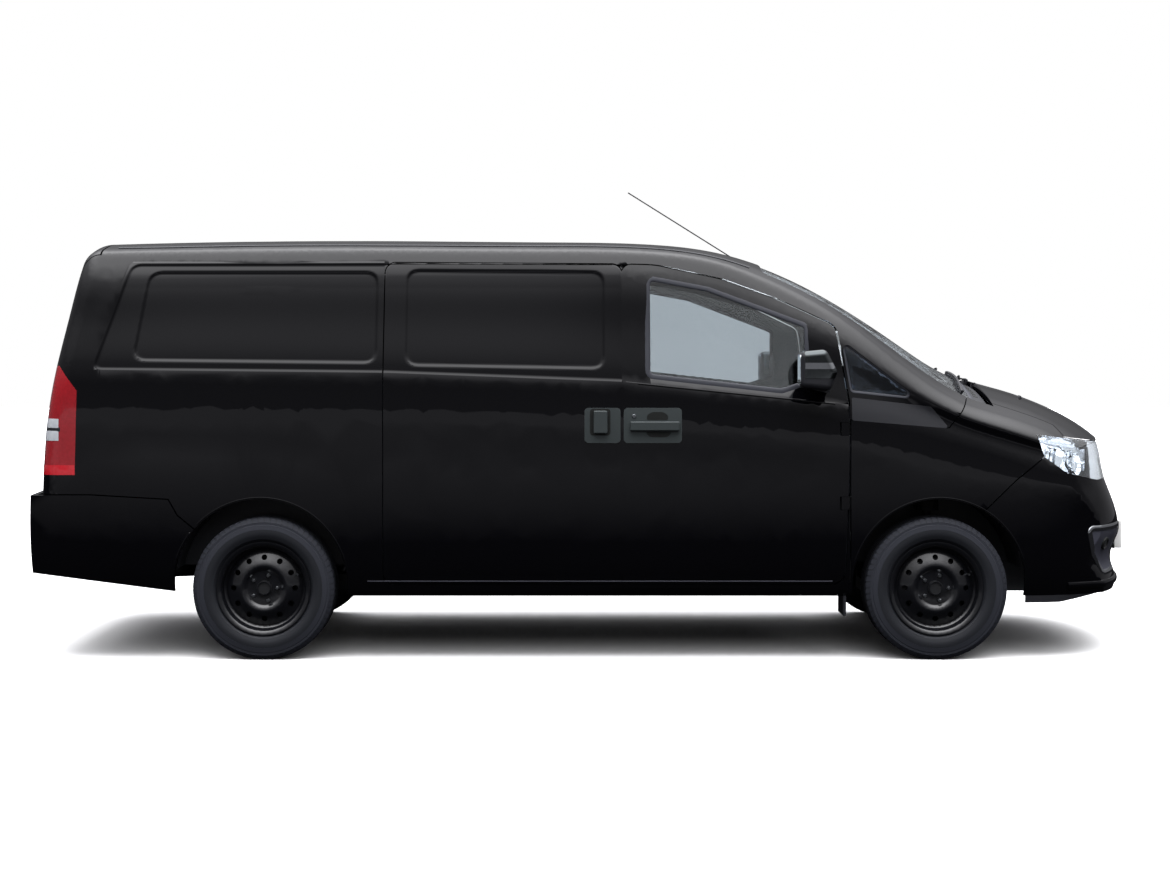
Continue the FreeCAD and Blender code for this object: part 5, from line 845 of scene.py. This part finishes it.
# %% [markdown]
# The skin is a net over part of the side. Each recess goes down over a soft ramp
# 11 mm wide. The sheet lies a millimetre or two proud of the frame, so that the
# frame's facets never show through.

# %% Sink the recesses and add the skin
RAMP, SHEET, NET_STEP, EDGE_GAP = 0.011, 0.003, 0.0062, 0.0006


def press_skin(left, right, low, high, outline):
    """A net over part of the side with the recesses sunk into it, as a thin sheet."""
    rows = int((high(right) - low(right)) / NET_STEP)
    cols = int((right - left(high(right))) / NET_STEP)
    share_up, share_across = np.meshgrid(np.linspace(0, 1, rows + 1), np.linspace(0, 1, cols + 1), indexing="ij")
    z = 1.5
    for _ in range(2):
        x = left(z) + (right - left(z)) * share_across
        z = low(x) + (high(x) - low(x)) * share_up
    inside = inside_by(outline, x, z)
    sunk = np.zeros(x.shape)
    for depth in [inside] + [inside_by(window, x, z) for window in blind_windows]:
        ramp = np.clip(depth / RAMP, 0, 1)
        sunk += ramp * ramp * (3 - 2 * ramp) * recess_depth
    proud = EDGE_GAP + 0.0022 * np.clip((z - 1.66) / 0.06, 0, 1)
    proud = np.where(inside > 0, proud, proud + inside * 0.25)
    y = powers(x, z) @ np.array(surface) + sunk - proud
    outer = [Vector(p) for p in zip(x.ravel(), y.ravel(), z.ravel())]
    points = outer + [p + Vector((0, SHEET, 0)) for p in outer]
    n, wide = len(outer), cols + 1
    faces = []
    for a in (i * wide + k for i in range(rows) for k in range(cols)):
        faces += [[a, a + 1, a + wide + 1, a + wide], [n + a + wide, n + a + wide + 1, n + a + 1, n + a]]
    rim = list(range(cols)) + [i * wide + cols for i in range(rows)]
    rim += [rows * wide + cols - k for k in range(cols)] + [(rows - i) * wide for i in range(rows)]
    faces += [[b, a, n + a, n + b] for a, b in zip(rim, rim[1:] + rim[:1])]
    return points, faces


def belt_at(x):
    """The lower edge of the skins, just under the belt line."""
    return np.interp(x, *zip(*reversed(belt))) - 0.009


quarter = press_skin(lambda z: -2.220 + (z - 1.291) * 0.3236, -0.9145, belt_at, lambda x: 1.779, band)
pair("blind_window_rear", quarter, enamel, angle=80)
slide_low, slide_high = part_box("sliding_door_right")
slide_left, slide_right = slide_low[0] + EDGE_GAP, slide_high[0] - EDGE_GAP
CORNER = 0.045


def slide_top(x):
    """The sliding door's top edge with its rounded corners."""
    from_corner = np.clip(CORNER - np.minimum(x - slide_left, slide_right - x), 0, CORNER)
    edge = np.interp(x, [-0.908, -0.200, 0.153], [1.774, 1.775, 1.7665]) - EDGE_GAP
    return edge - (CORNER - np.sqrt(CORNER ** 2 - from_corner ** 2))


pair("blind_window_slide", press_skin(lambda z: slide_left, slide_right, belt_at, slide_top, tall_band), enamel,
     angle=80)
print("sliding door from", round(slide_left, 4), "to", round(slide_right, 4), " top", round(slide_high[2], 4))

# %% [markdown]
# **Glass.** Each side pane sits in a rubber channel. The seal follows the
# pane's own outline, so it is read from the pane and swept around it.

# %% Window seals
pane = outline_of("door_glass_right", right_and_out)
pair("door_window_seal", bead(pane, half_round(0.030, 0.0035), True), seal_rubber, DOORS)
small_pane = outline_of("quarter_glasses", right_and_out)
pair("quarter_window_seal", bead(small_pane, half_round(0.020, 0.0035), True), seal_rubber)
for name in ("quarter_glasses", "tailgate_glass"):
    dress(name, dark_glass)
screen = outline_of("windscreen", lambda face: face.normal.x > 0.2 and face.normal.z > 0.1)
piece("windscreen_seal", bead(screen, half_round(0.022, 0.003), True), seal_rubber)
back_pane = outline_of("tailgate_glass", lambda face: face.normal.x < -0.3)
piece("tailgate_window_seal", bead(back_pane, half_round(0.034, 0.003), True), seal_rubber, "tailgate")
print("seal points round the door pane:", len(pane))

# %% [markdown]
# Behind the shut lines below the belt runs a hollow rubber seal, fixed to the
# body. It closes the gap to light as well as to water. The line read here ends
# at the belt, so the seal's top run crosses the opening there; a real seal goes
# on up round the window. Above and below the split between the two doors, a
# small lacquered filler closes the rest.

# %% Door seals
tube = [(-0.010, -0.0415), (0.010, -0.0415), (0.010, -0.054), (-0.010, -0.054)]
for word, panel in (("front", "door_front_right"), ("slide", "sliding_door_right")):
    edge = outline_of(panel, right_and_out)
    pair(word + "_door_seal", bead(edge, tube, True, 0.02), seal_rubber)
    print(word, "door seal points:", len(edge))


def beside_split(x, z):
    """The skin of the sliding door, carried straight on across the split."""
    spot, facing = on_side(0.100, min(max(z, 0.370), 1.760))
    return Vector((x, spot.y + max(0, z - 1.760) * 0.45, z)), facing


heights = ((0.335, 0.400), (1.730, 1.772))
fillers = [slab(box_outline(0.115, low, 0.195, high), beside_split, -0.014, -0.010) for low, high in heights]
pair("split_fillers", merged(*fillers), enamel)

# %% [markdown]
# ** Lips and mouldings.** The edge of each wheel arch is turned in, which shows as
# a thin bright line. Rubber mouldings cover the weld between roof and sides. A
# low bead along the sill is drawn in a lighter grey: a painted highlight.

# %% Arch lips, sill highlight and roof mouldings
ARCH_RADIUS, ARCH_Z = 0.3915, 0.333
arch_lines = []
for x in (1.565, -1.455):
    turns = [math.radians(-8 + 196 * k / 60) for k in range(61)]
    arc = [(x + ARCH_RADIUS * math.cos(turn), ARCH_Z + ARCH_RADIUS * math.sin(turn)) for turn in turns]
    line = [spot for spot in traced(on_side, arc) if spot[0].y < -0.70 and spot[0].z > 0.29]
    arch_lines.append(bead(line, half_round(0.007, 0.0016)))
pair("arch_lips", merged(*arch_lines), enamel)
# Painted highlight: a low bead along the sill in a lighter grey.
sill = traced(on_side, [(x / 100, 0.351) for x in range(-98, 112, 3)])
pair("sill_seam", bead(sill, half_round(0.005, 0.001)), grey_trim_and_highlight)
moulding = traced(on_top, [(x / 100, -0.600) for x in range(-214, 76, 6)])
pair("roof_moulding", bead(moulding, half_round(0.020, 0.005), step=0.04), black_trim)
belt_line = traced(on_side, [(x / 100, 1.2375 - (x / 100 - 0.16) * 0.102) for x in range(17, 112, 3)])
pair("belt_crease", bead(belt_line, half_round(0.009, 0.0018), step=0.03), enamel, DOORS)
print("arch lip points:", [len(lips[0]) for lips in arch_lines])

# %% [markdown]
# **Lamps.** A headlamp is a clear cover over a deep bright housing. The cover is
# the lamp's own outer face with a wall of 3 mm; behind it lie a reflector floor,
# a chrome frame, two bowls, stepped facets and the indicator's white window.


# %% Shells and cut-outs of a part
def shell_of(name, chosen, high, low):
    """The chosen outer faces of a part as a closed shell between two depths."""
    shape = welded(nodes[name].data)
    shape.normal_update()
    keep = [face for face in shape.faces if chosen(face)]
    facing = {}
    for face in keep:
        for vertex in face.verts:
            facing[vertex] = facing.get(vertex, Vector()) + face.normal * face.calc_area()
    order = {vertex: i for i, vertex in enumerate(facing)}
    n = len(order)
    points = [v.co + facing[v].normalized() * lift for lift in (high, low) for v in order]
    faces = [[order[v] for v in face.verts] for face in keep]
    faces += [[n + i for i in reversed(face)] for face in faces]
    for edge in shape.edges:
        if sum(face in keep for face in edge.link_faces) == 1:
            a, b = (order[v] for v in edge.verts)
            faces.append([a, b, n + b, n + a])
    shape.free()
    return points, faces


def cut_out(name, planes, grow):
    """The piece of a part between planes (point, outward way), grown a little."""
    shape = welded(nodes[name].data)
    for spot, way in planes:
        everything = list(shape.verts) + list(shape.edges) + list(shape.faces)
        cut = bmesh.ops.bisect_plane(shape, geom=everything, plane_co=spot, plane_no=way, clear_outer=True)
        edges = [part for part in cut["geom_cut"] if isinstance(part, bmesh.types.BMEdge)]
        bmesh.ops.holes_fill(shape, edges=edges)
    bmesh.ops.recalc_face_normals(shape, faces=shape.faces)
    shape.normal_update()
    points = [v.co + v.normal * grow for v in shape.verts]
    shape.verts.index_update()
    faces = [[v.index for v in face.verts] for face in shape.faces]
    shape.free()
    return points, faces


# %% [markdown]
# The pieces of the headlamp sit at depths behind the cover, from 3.5 mm for the
# frame's edge to 37 mm for the back of the reflector floor.

# %% Headlamps
INDICATOR_X = 2.285


def lamp_face(face):
    """True for the outer faces of the right headlamp."""
    middle = face.calc_center_median()
    return middle.y < -0.42 and (face.normal.y < -0.05 or face.normal.x > 0.6) and face.normal.y < 0.5


lamp_rim = outline_of("headlamps", lamp_face)
cover = pair("headlamp_cover", shell_of("headlamps", lamp_face, 0.0, -0.003), clear_cover)
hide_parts("headlamps")
rim_profile = [(-0.001, -0.0035), (-0.013, -0.0045), (-0.013, -0.036), (-0.001, -0.036)]
pair("headlamp_frame", bead(lamp_rim, rim_profile, True, 0.010), chrome)
pair("headlamp_floor", shell_of("headlamps", lamp_face, -0.034, -0.037), reflector)
bowl = lathe([(0.050, -0.012), (0.052, -0.012), (0.046, 0.006), (0.034, 0.020), (0.018, 0.028), (0.009, 0.030),
              (0.009, 0.026), (0.017, 0.024), (0.032, 0.016), (0.043, 0.004)], 40)
bulb = lathe([(0, -0.006), (0.006, -0.004), (0.009, 0.004), (0.009, 0.028), (0, 0.028)], 20, closed=False)
bowls, bulbs = [], []
for spot, facing in traced(on_side, ((2.105, 0.905), (2.205, 0.872))):
    ahead, place = facing + Vector((0.25, 0, 0)), spot - facing * 0.026
    bowls.append(turned_to(bowl, ahead, place))
    bulbs.append(turned_to(bulb, ahead, place))
pair("headlamp_bowls", merged(*bowls), reflector, angle=50)
pair("headlamp_bulbs", merged(*bulbs), white_lens, angle=50)
facets = []
for x in (2.055, 2.080, 2.150, 2.166, 2.246):
    line = traced(on_side, [(x + 0.02 * i / 8, 0.79 + 0.19 * i / 8) for i in range(9)])
    line = [spot for spot in line if abs(spot[0].z - 0.88) < 0.062]
    if len(line) > 3:
        facets.append(bead(line, [(-0.004, -0.010), (0.004, -0.016), (0.005, -0.035), (-0.005, -0.035)], step=0.02))
pair("headlamp_facets", merged(*facets), chrome)
divider = traced(on_side, [(2.272, 0.80 + 0.14 * k / 8) for k in range(9)])
divider_profile = [(-0.004, -0.0035), (0.004, -0.0035), (0.004, -0.036), (-0.004, -0.036)]
pair("headlamp_divider", bead(divider, divider_profile), black_trim)
window = shell_of("headlamps", lambda f: lamp_face(f) and f.calc_center_median().x > INDICATOR_X, -0.010, -0.013)
pair("indicator_window", window, white_lens)
print("headlamp rim points:", len(lamp_rim))

# %% [markdown]
# The fog lamp sits in a grey panel with a plated D-shaped frame. The frame is a
# bead round the panel's own outline; the lamp is a dark ring with a clear face.

# %% Fog lamp panels
dress("fog_surrounds", grey_trim_and_highlight)
fog_rim = outline_of("fog_surrounds", right_and_out)
pair("fog_frame", bead(fog_rim, half_round(0.026, 0.006, 0.004), True, 0.008), chrome)
fog_spot, fog_facing = on_side(2.345, 0.505)
fog_ring = lathe([(0.030, 0.01), (0.030, -0.006), (0.024, -0.009), (0.021, -0.004), (0, -0.002), (0, 0.01)], 40,
                 closed=False)
pair("fog_lamp", turned_to(fog_ring, fog_facing, fog_spot), black_nylon_and_painted_shade, angle=40)
fog_face = lathe([(0.0205, -0.003), (0.014, -0.006), (0, -0.007), (0, -0.001), (0.0205, -0.001)], 40, closed=False)
pair("fog_lens", turned_to(fog_face, fog_facing, fog_spot), reflector, angle=60)
print("fog lamp at", short(fog_spot))

# %% [markdown]
# The tail lamp is one red moulding with two pale windows, for reversing and
# turning, a dark bar between them and a brighter brake lens below. All are cut
# from the lamp's own shape and stand a millimetre proud.

# %% Tail lamps
smooth_copy("tail_lamps", red_lens)


def lamp_band(low, high, front, grow):
    """The part of the right tail lamp between two heights, behind `front`."""
    planes = [((0, 0, high), (0, 0, 1)), ((0, 0, low), (0, 0, -1)), ((front, 0, 0), (1, 0, 0)), ((0, 0, 0), (0, 1, 0))]
    return cut_out("tail_lamps", planes, grow)


windows = merged(lamp_band(0.978, 1.020, -2.352, 0.0012), lamp_band(1.035, 1.074, -2.352, 0.0012))
pair("tail_windows", windows, grey_lens)
pair("tail_divider", lamp_band(1.019, 1.036, -2.345, 0.0009), black_trim)
pair("brake_lens", lamp_band(0.826, 0.868, -2.28, 0.0009), brake_red)

# %% [markdown]
# **Mirrors.** The head is black, with a smoked cap over its upper half and one
# bright band that a repeater lamp would fill. Cap and band are cut from the head
# itself and grown, so they hug it. The glass faces the driver, at the back.

# %% Mirror caps, bands and glass
mirror_low, mirror_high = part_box("mirror_right")
print("mirror head from", short(mirror_low), "to", short(mirror_high))
outside = ((0, -0.868, 0), (0, 1, 0))
cap_planes = [((0, 0, 1.258), (0, 0, -1)), outside, ((0.948, 0, 0), (-1, 0, 0))]
pair("mirror_cap", cut_out("mirror_right", cap_planes, 0.0022), smoked_chrome, DOORS, 40)
band_planes = [((0, 0, 1.300), (0, 0, -1)), ((0, 0, 1.322), (0, 0, 1)), outside, ((0.950, 0, 0), (-1, 0, 0))]
pair("mirror_band", cut_out("mirror_right", band_planes, 0.0036), chrome, DOORS, 40)


def behind_mirror(y, z):
    return Vector((mirror_low[0], y, z)), Vector((-1, 0, 0))


pair("mirror_glass", slab(box_outline(-1.000, 1.225, -0.895, 1.360, 0.02), behind_mirror, -0.002, 0.0015),
     mirror_silver, DOORS)

# %% [markdown]
# ** Handles.** Each grey-green plate has hollows for the fingers above and
# below its bar, drawn as dark slabs laid on the skin: painted shade. The front
# one has a lock.

# %% Handle hollows and locks
upper_hollow = rounded([(0.262, 1.070), (0.262, 1.090), (0.285, 1.106), (0.335, 1.106), (0.357, 1.090),
                        (0.357, 1.070)], 0.02)
lower_hollow = rounded([(0.255, 1.018), (0.375, 1.018), (0.355, 0.994), (0.275, 0.994)], 0.02)
slide_hollow = box_outline(0.010, 1.002, 0.101, 1.120, 0.016)
# Painted shade: dark slabs where the finger hollows lie.
upper, lower, rear = (slab(line, on_side, 0.002, 0.0047) for line in (upper_hollow, lower_hollow, slide_hollow))
pair("handle_hollows", merged(upper, lower), black_nylon_and_painted_shade, DOORS)
pair("slide_hollows", rear, black_nylon_and_painted_shade)
lock_spot, lock_facing = on_side(0.206, 1.087)
lock = lathe([(0.0085, 0.004), (0.0085, -0.0062), (0.0070, -0.0078), (0, -0.0078), (0, 0.004)], 28, closed=False)
pair("door_lock", turned_to(lock, lock_facing, lock_spot), zinc, DOORS, 40)
for name in ("door_handle_right", "door_handle_left", "sliding_door_handles"):
    smooth_copy(name, nylon, 30)
print("door lock at", short(lock_spot))

# %% [markdown]
# The lower hinge lugs show in their pockets at the front edge of each door. A
# painted cap closes each pocket; it stays with the body when the door opens.


# %% Hinge caps
def beside_pocket(low, high):
    """The door's skin across a pocket, taken straight from below it to above it."""
    def skin_there(x, z):
        share = (z - low[0].z) / (high[0].z - low[0].z)
        return Vector((x, low[0].y + (high[0].y - low[0].y) * share, z)), low[1]
    return skin_there


caps = []
for z in (0.700, 1.030):
    across = beside_pocket(on_side(1.135, z - 0.045), on_side(1.135, z + 0.045))
    cap_outline = box_outline(1.1275, z - 0.0285, 1.1625, z + 0.0285, 0.003)
    caps.append(slab(cap_outline, across, -0.004, -0.0006, 0.012))
pair("hinge_caps", merged(*caps), enamel)
print("hinge caps on one side:", len(caps))

# %% [markdown]
# **Front end.** A blank plate on a black holder, a lip under the bumper, an air
# dam that hangs lower behind it, a bright strip over the grille.

# %% Bumper trim and front plate
nose_x = on_nose(0, 0.51)[0].x
print("bumper reaches x =", round(nose_x, 3))


def plate_plane(y, z):
    return Vector((nose_x + 0.020, y, z)), Vector((1, 0, 0))


piece("plate_holder", slab(box_outline(-0.262, 0.441, 0.262, 0.577, 0.008), plate_plane, -0.037, -0.030), black_trim)
piece("front_plate", slab(box_outline(-0.260, 0.443, 0.260, 0.575, 0.006), plate_plane, -0.0297, 0.003), plate_enamel)
lip = [spot for spot in traced(on_nose, [(y / 100, 0.325) for y in range(-78, 79, 3)]) if spot[0].x > 2.1]
piece("bumper_lip", bead(lip, half_round(0.034, 0.010, 0.004)), enamel)
strip = traced(on_nose, [(y / 100, 0.928) for y in range(-41, 42, 3)])
piece("grille_strip", bead(strip, half_round(0.014, 0.004)), chrome)

# %% [markdown]
# The air dam is a wall 4 mm thick under the bumper's side. Its lower edge rises
# toward the nose.

# %% Air dam
DAM_LOW, DAM_TOP, DAM_RISES_AT = 0.252, 0.300, 2.12
dam_line = traced(on_side, [(1.955 + 0.02 * k, DAM_TOP) for k in range(20)])
dam_points, dam_faces = [], []
for spot, facing in dam_line:
    low = DAM_LOW if spot.x < DAM_RISES_AT else min(DAM_LOW + (spot.x - DAM_RISES_AT) * 0.17, 0.29)
    for foot in (spot - facing * depth for depth in (0.006, 0.010)):
        dam_points += [Vector((foot.x, foot.y, DAM_TOP)), Vector((foot.x, foot.y, low))]
last = 4 * (len(dam_line) - 1)
for a in range(0, last, 4):
    b = a + 4
    dam_faces += [[a, b, b + 1, a + 1], [a + 2, a + 3, b + 3, b + 2]]
    dam_faces += [[a + 1, b + 1, b + 3, a + 3], [a, a + 2, b + 2, b]]
dam_faces += [[0, 1, 3, 2], [last, last + 2, last + 3, last + 1]]
pair("air_dam", (dam_points, dam_faces), black_trim)
print("air dam points:", len(dam_points))

# %% [markdown]
# **Wipers and washers.** The wipers park along the foot of the screen. Their
# blades and arms are beads on the glass, raised off it by the rubber's height.

# %% Wipers, washer jets and cowl slots
ARM_LIFT, BLADE_LIFT = 0.022, 0.013
arm_profile = [(-0.006, 0.0), (-0.004, 0.007), (0.004, 0.007), (0.006, 0.0)]
blade_profile = [(-0.0045, -0.012), (-0.007, 0.003), (0, 0.008), (0.007, 0.003), (0.0045, -0.012)]
pivot = lathe([(0.016, 0.012), (0.016, -0.018), (0.012, -0.030), (0, -0.034), (0, 0.012)], 24, closed=False)


def along_screen(points):
    """Spots on the screen along a bent line, twelve to each of its parts."""
    legs = zip(points, points[1:])
    places = [(x0 + (x1 - x0) * k / 12, y0 + (y1 - y0) * k / 12) for (x0, y0), (x1, y1) in legs for k in range(12)]
    return traced(on_top, places)


wipers = []
for y0, y1, hinge in ((-0.640, -0.045, -0.075), (0.020, 0.600, 0.560)):
    blade = along_screen([(1.700, y0), (1.728, (y0 + y1) / 2), (1.735, y1)])
    arm_end = hinge + (y0 - hinge) * 0.55 if hinge < 0 else (y0 + y1) / 2
    arm = along_screen([(1.822, hinge), (1.760, hinge + (y0 - hinge) * 0.3), (1.725, arm_end)])
    wipers.append(bead(lifted(blade, BLADE_LIFT), blade_profile, step=0.02))
    wipers.append(bead(lifted(arm, ARM_LIFT), arm_profile, step=0.02))
    spot, facing = on_top(1.822, hinge)
    wipers.append(turned_to(pivot, facing, spot))
piece("wipers", merged(*wipers), black_trim, angle=40)
jet = lathe([(0.013, 0.004), (0.012, -0.004), (0.007, -0.011), (0, -0.012), (0, 0.004)], 20, closed=False)
jet_spot, jet_facing = on_top(2.040, -0.30)
pair("washer_jets", turned_to(jet, jet_facing, jet_spot), black_trim, ("bonnet", "bonnet"), 40)
# The cowl's slots are dark slabs laid on the cowl: painted shade, not openings.
slot_outlines = [box_outline(1.782, y - 0.017, 1.802, y + 0.017, 0.004) for y in (-0.50 + 0.05 * k for k in range(21))]
slots = [slab(outline, on_top, -0.001, 0.0012, 0.02) for outline in slot_outlines]
piece("cowl_slots", merged(*slots), black_nylon_and_painted_shade)
print("cowl slots:", len(slots))

# %% [markdown]
# **Back end.** Nothing of it shows in the photograph, so it gets what every such
# van carries: a handle strip, a wiper, a high stop lamp, reflectors and a plate.

# %% Tailgate and rear bumper trim
plate = slab(box_outline(-0.260, 0.800, 0.260, 0.912, 0.006), on_tail, 0.001, 0.004, 0.05)
piece("rear_plate", plate, plate_enamel, "tailgate")
handle_strip = slab(box_outline(-0.330, 0.935, 0.330, 0.985, 0.015), on_tail, -0.001, 0.020, 0.05)
piece("tailgate_handle", handle_strip, black_trim, "tailgate")
stop_lamp = slab(box_outline(-0.150, 1.752, 0.150, 1.776, 0.006), on_tail, -0.001, 0.006, 0.03)
piece("high_stop_lamp", stop_lamp, brake_red, "tailgate")
pair("rear_reflectors", slab(box_outline(-0.740, 0.500, -0.620, 0.535, 0.008), on_tail, -0.001, 0.003, 0.03), red_lens)
pivot_spot, pivot_facing = on_tail(0, 1.150)
arm = traced(on_tail, [(-0.42 * k / 12, 1.150 + 0.10 * k / 12) for k in range(13)])
blade = traced(on_tail, [(-0.14 - 0.36 * k / 12, 1.232 + 0.02 * k / 12) for k in range(13)])
rear_wiper = merged(turned_to(pivot, pivot_facing, pivot_spot), bead(lifted(arm, ARM_LIFT), arm_profile, step=0.02),
                    bead(lifted(blade, BLADE_LIFT), blade_profile, step=0.02))
piece("rear_wiper", rear_wiper, black_trim, "tailgate", 40)
step_line = traced(on_tail, [(y / 100, 0.700) for y in range(-70, 71, 5)])
piece("bumper_step", bead(step_line, half_round(0.050, 0.005, 0.004), step=0.03), black_trim)
flap = slab(box_outline(-1.960, 0.930, -1.800, 1.080, 0.02), on_side, -0.001, 0.0008, 0.03)
piece("fuel_flap", flipped(flap), enamel)
print("rear wiper pivot at", short(pivot_spot))

# %% [markdown]
# A step plate closes the well between the cab floor and the sill, seen when a
# front door stands open.


# %% Door steps
def step_plane(x, y):
    return Vector((x, y, 0.338)), Vector((0, 0, 1))


pair("door_steps", slab(box_outline(-0.200, -0.795, 1.120, -0.450, 0.02), step_plane, -0.012, 0.0, 0.04), black_trim)
print("door steps reach", short(step_plane(1.120, -0.795)[0]))

# %% [markdown]
# **Seats.** A seat cushion is foam under cloth: crowned in the middle, pulled in
# at its edges, with two sewn channels. The form is a rounded box whose face is
# raised and grooved point by point.

# %% Seat pads
CHANNELS, CHANNEL_WIDTH, CHANNEL_DEPTH = (-0.13, 0.13), 0.008, 0.010
SQUARENESS = 0.36
LEAN = math.radians(7)
SIDES = (("right", -0.400), ("left", 0.400))


def squared(value):
    """Pushes a sine or cosine out toward 1, which turns a ball into a soft box."""
    return math.copysign(abs(value) ** SQUARENESS, value)


def pad(size, crown, channels=CHANNELS):
    """A crowned pad of the given size around the origin; +Z is its face."""
    points, faces, rows, cols = [], [], 40, 64
    for i in range(rows + 1):
        tilt = math.pi * (i / rows - 0.5)
        for k in range(cols):
            turn = 2 * math.pi * k / cols
            x = squared(math.cos(tilt)) * squared(math.cos(turn))
            y = squared(math.cos(tilt)) * squared(math.sin(turn))
            z = squared(math.sin(tilt))
            rise = crown * max(0, (1 - x * x)) * max(0, (1 - y * y))
            dips = [math.exp(-((y * size[1] / 2 - c) / CHANNEL_WIDTH) ** 2) for c in channels]
            groove = sum(dips) * CHANNEL_DEPTH if z > 0.5 else 0
            height = z * (size[2] / 2 - crown) + (rise - groove) * (z > 0)
            points.append(Vector((x * size[0] / 2, y * size[1] / 2, height)))
    for i in range(rows):
        for k in range(cols):
            a, b = i * cols + k, i * cols + (k + 1) % cols
            faces.append([a, b, b + cols, a + cols])
    return points, faces


def standing(made, middle):
    """Turns a pad so that it faces forward and leans back, and places it."""
    turn = Matrix.Rotation(-LEAN, 3, "Y")
    return [turn @ Vector((p.z, p.y, p.x)) + middle for p in made[0]], made[1]


low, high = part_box("seat_cushions")
deep, tall = high[0] - low[0], high[2] - low[2]
for word, y in SIDES:
    middle = ((low[0] + high[0]) / 2, y, (low[2] + high[2]) / 2)
    made = moved(pad((deep - 0.004, 0.496, tall - 0.004), 0.016), middle)
    piece("seat_cushion_" + word, made, seat_cloth, angle=60)
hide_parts("seat_cushions")
print("cushion size:", round(deep, 3), round(tall, 3))

# %% [markdown]
# The back and the head rest lean seven degrees. Two steel stems carry each head
# rest.

# %% Seat backs and head rests
foot = Vector((0.350 - 0.0158, 0, 0.830 + 0.0017))


def on_back(x, y, z):
    """A place on the leaning seat back, from its foot."""
    ahead, up = x * math.cos(LEAN) - z * math.sin(LEAN), z * math.cos(LEAN) + x * math.sin(LEAN)
    return Vector((foot.x + ahead, y, foot.z + up))


for word, y in SIDES:
    made = standing(pad((0.556, 0.466, 0.126), 0.014), on_back(-0.065, y, 0.280))
    piece("seat_back_" + word, made, seat_cloth, angle=60)
    made = standing(pad((0.130, 0.240, 0.082), 0.008, ()), on_back(-0.058, y, 0.640))
    rest = piece("head_rest_" + word, made, seat_cloth, angle=60)
    stems = []
    for side in (-0.06, 0.06):
        a, b = (on_back(-0.065, y + side, z) for z in (0.540, 0.600))
        length = (b - a).length
        rod = lathe([(0, 0.0), (0.007, 0.0), (0.007, -length), (0, -length)], 16, closed=False)
        stems.append(turned_to(rod, b - a, a))
    piece("rest_stems_" + word, merged(*stems), zinc)
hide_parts("seat_backs")
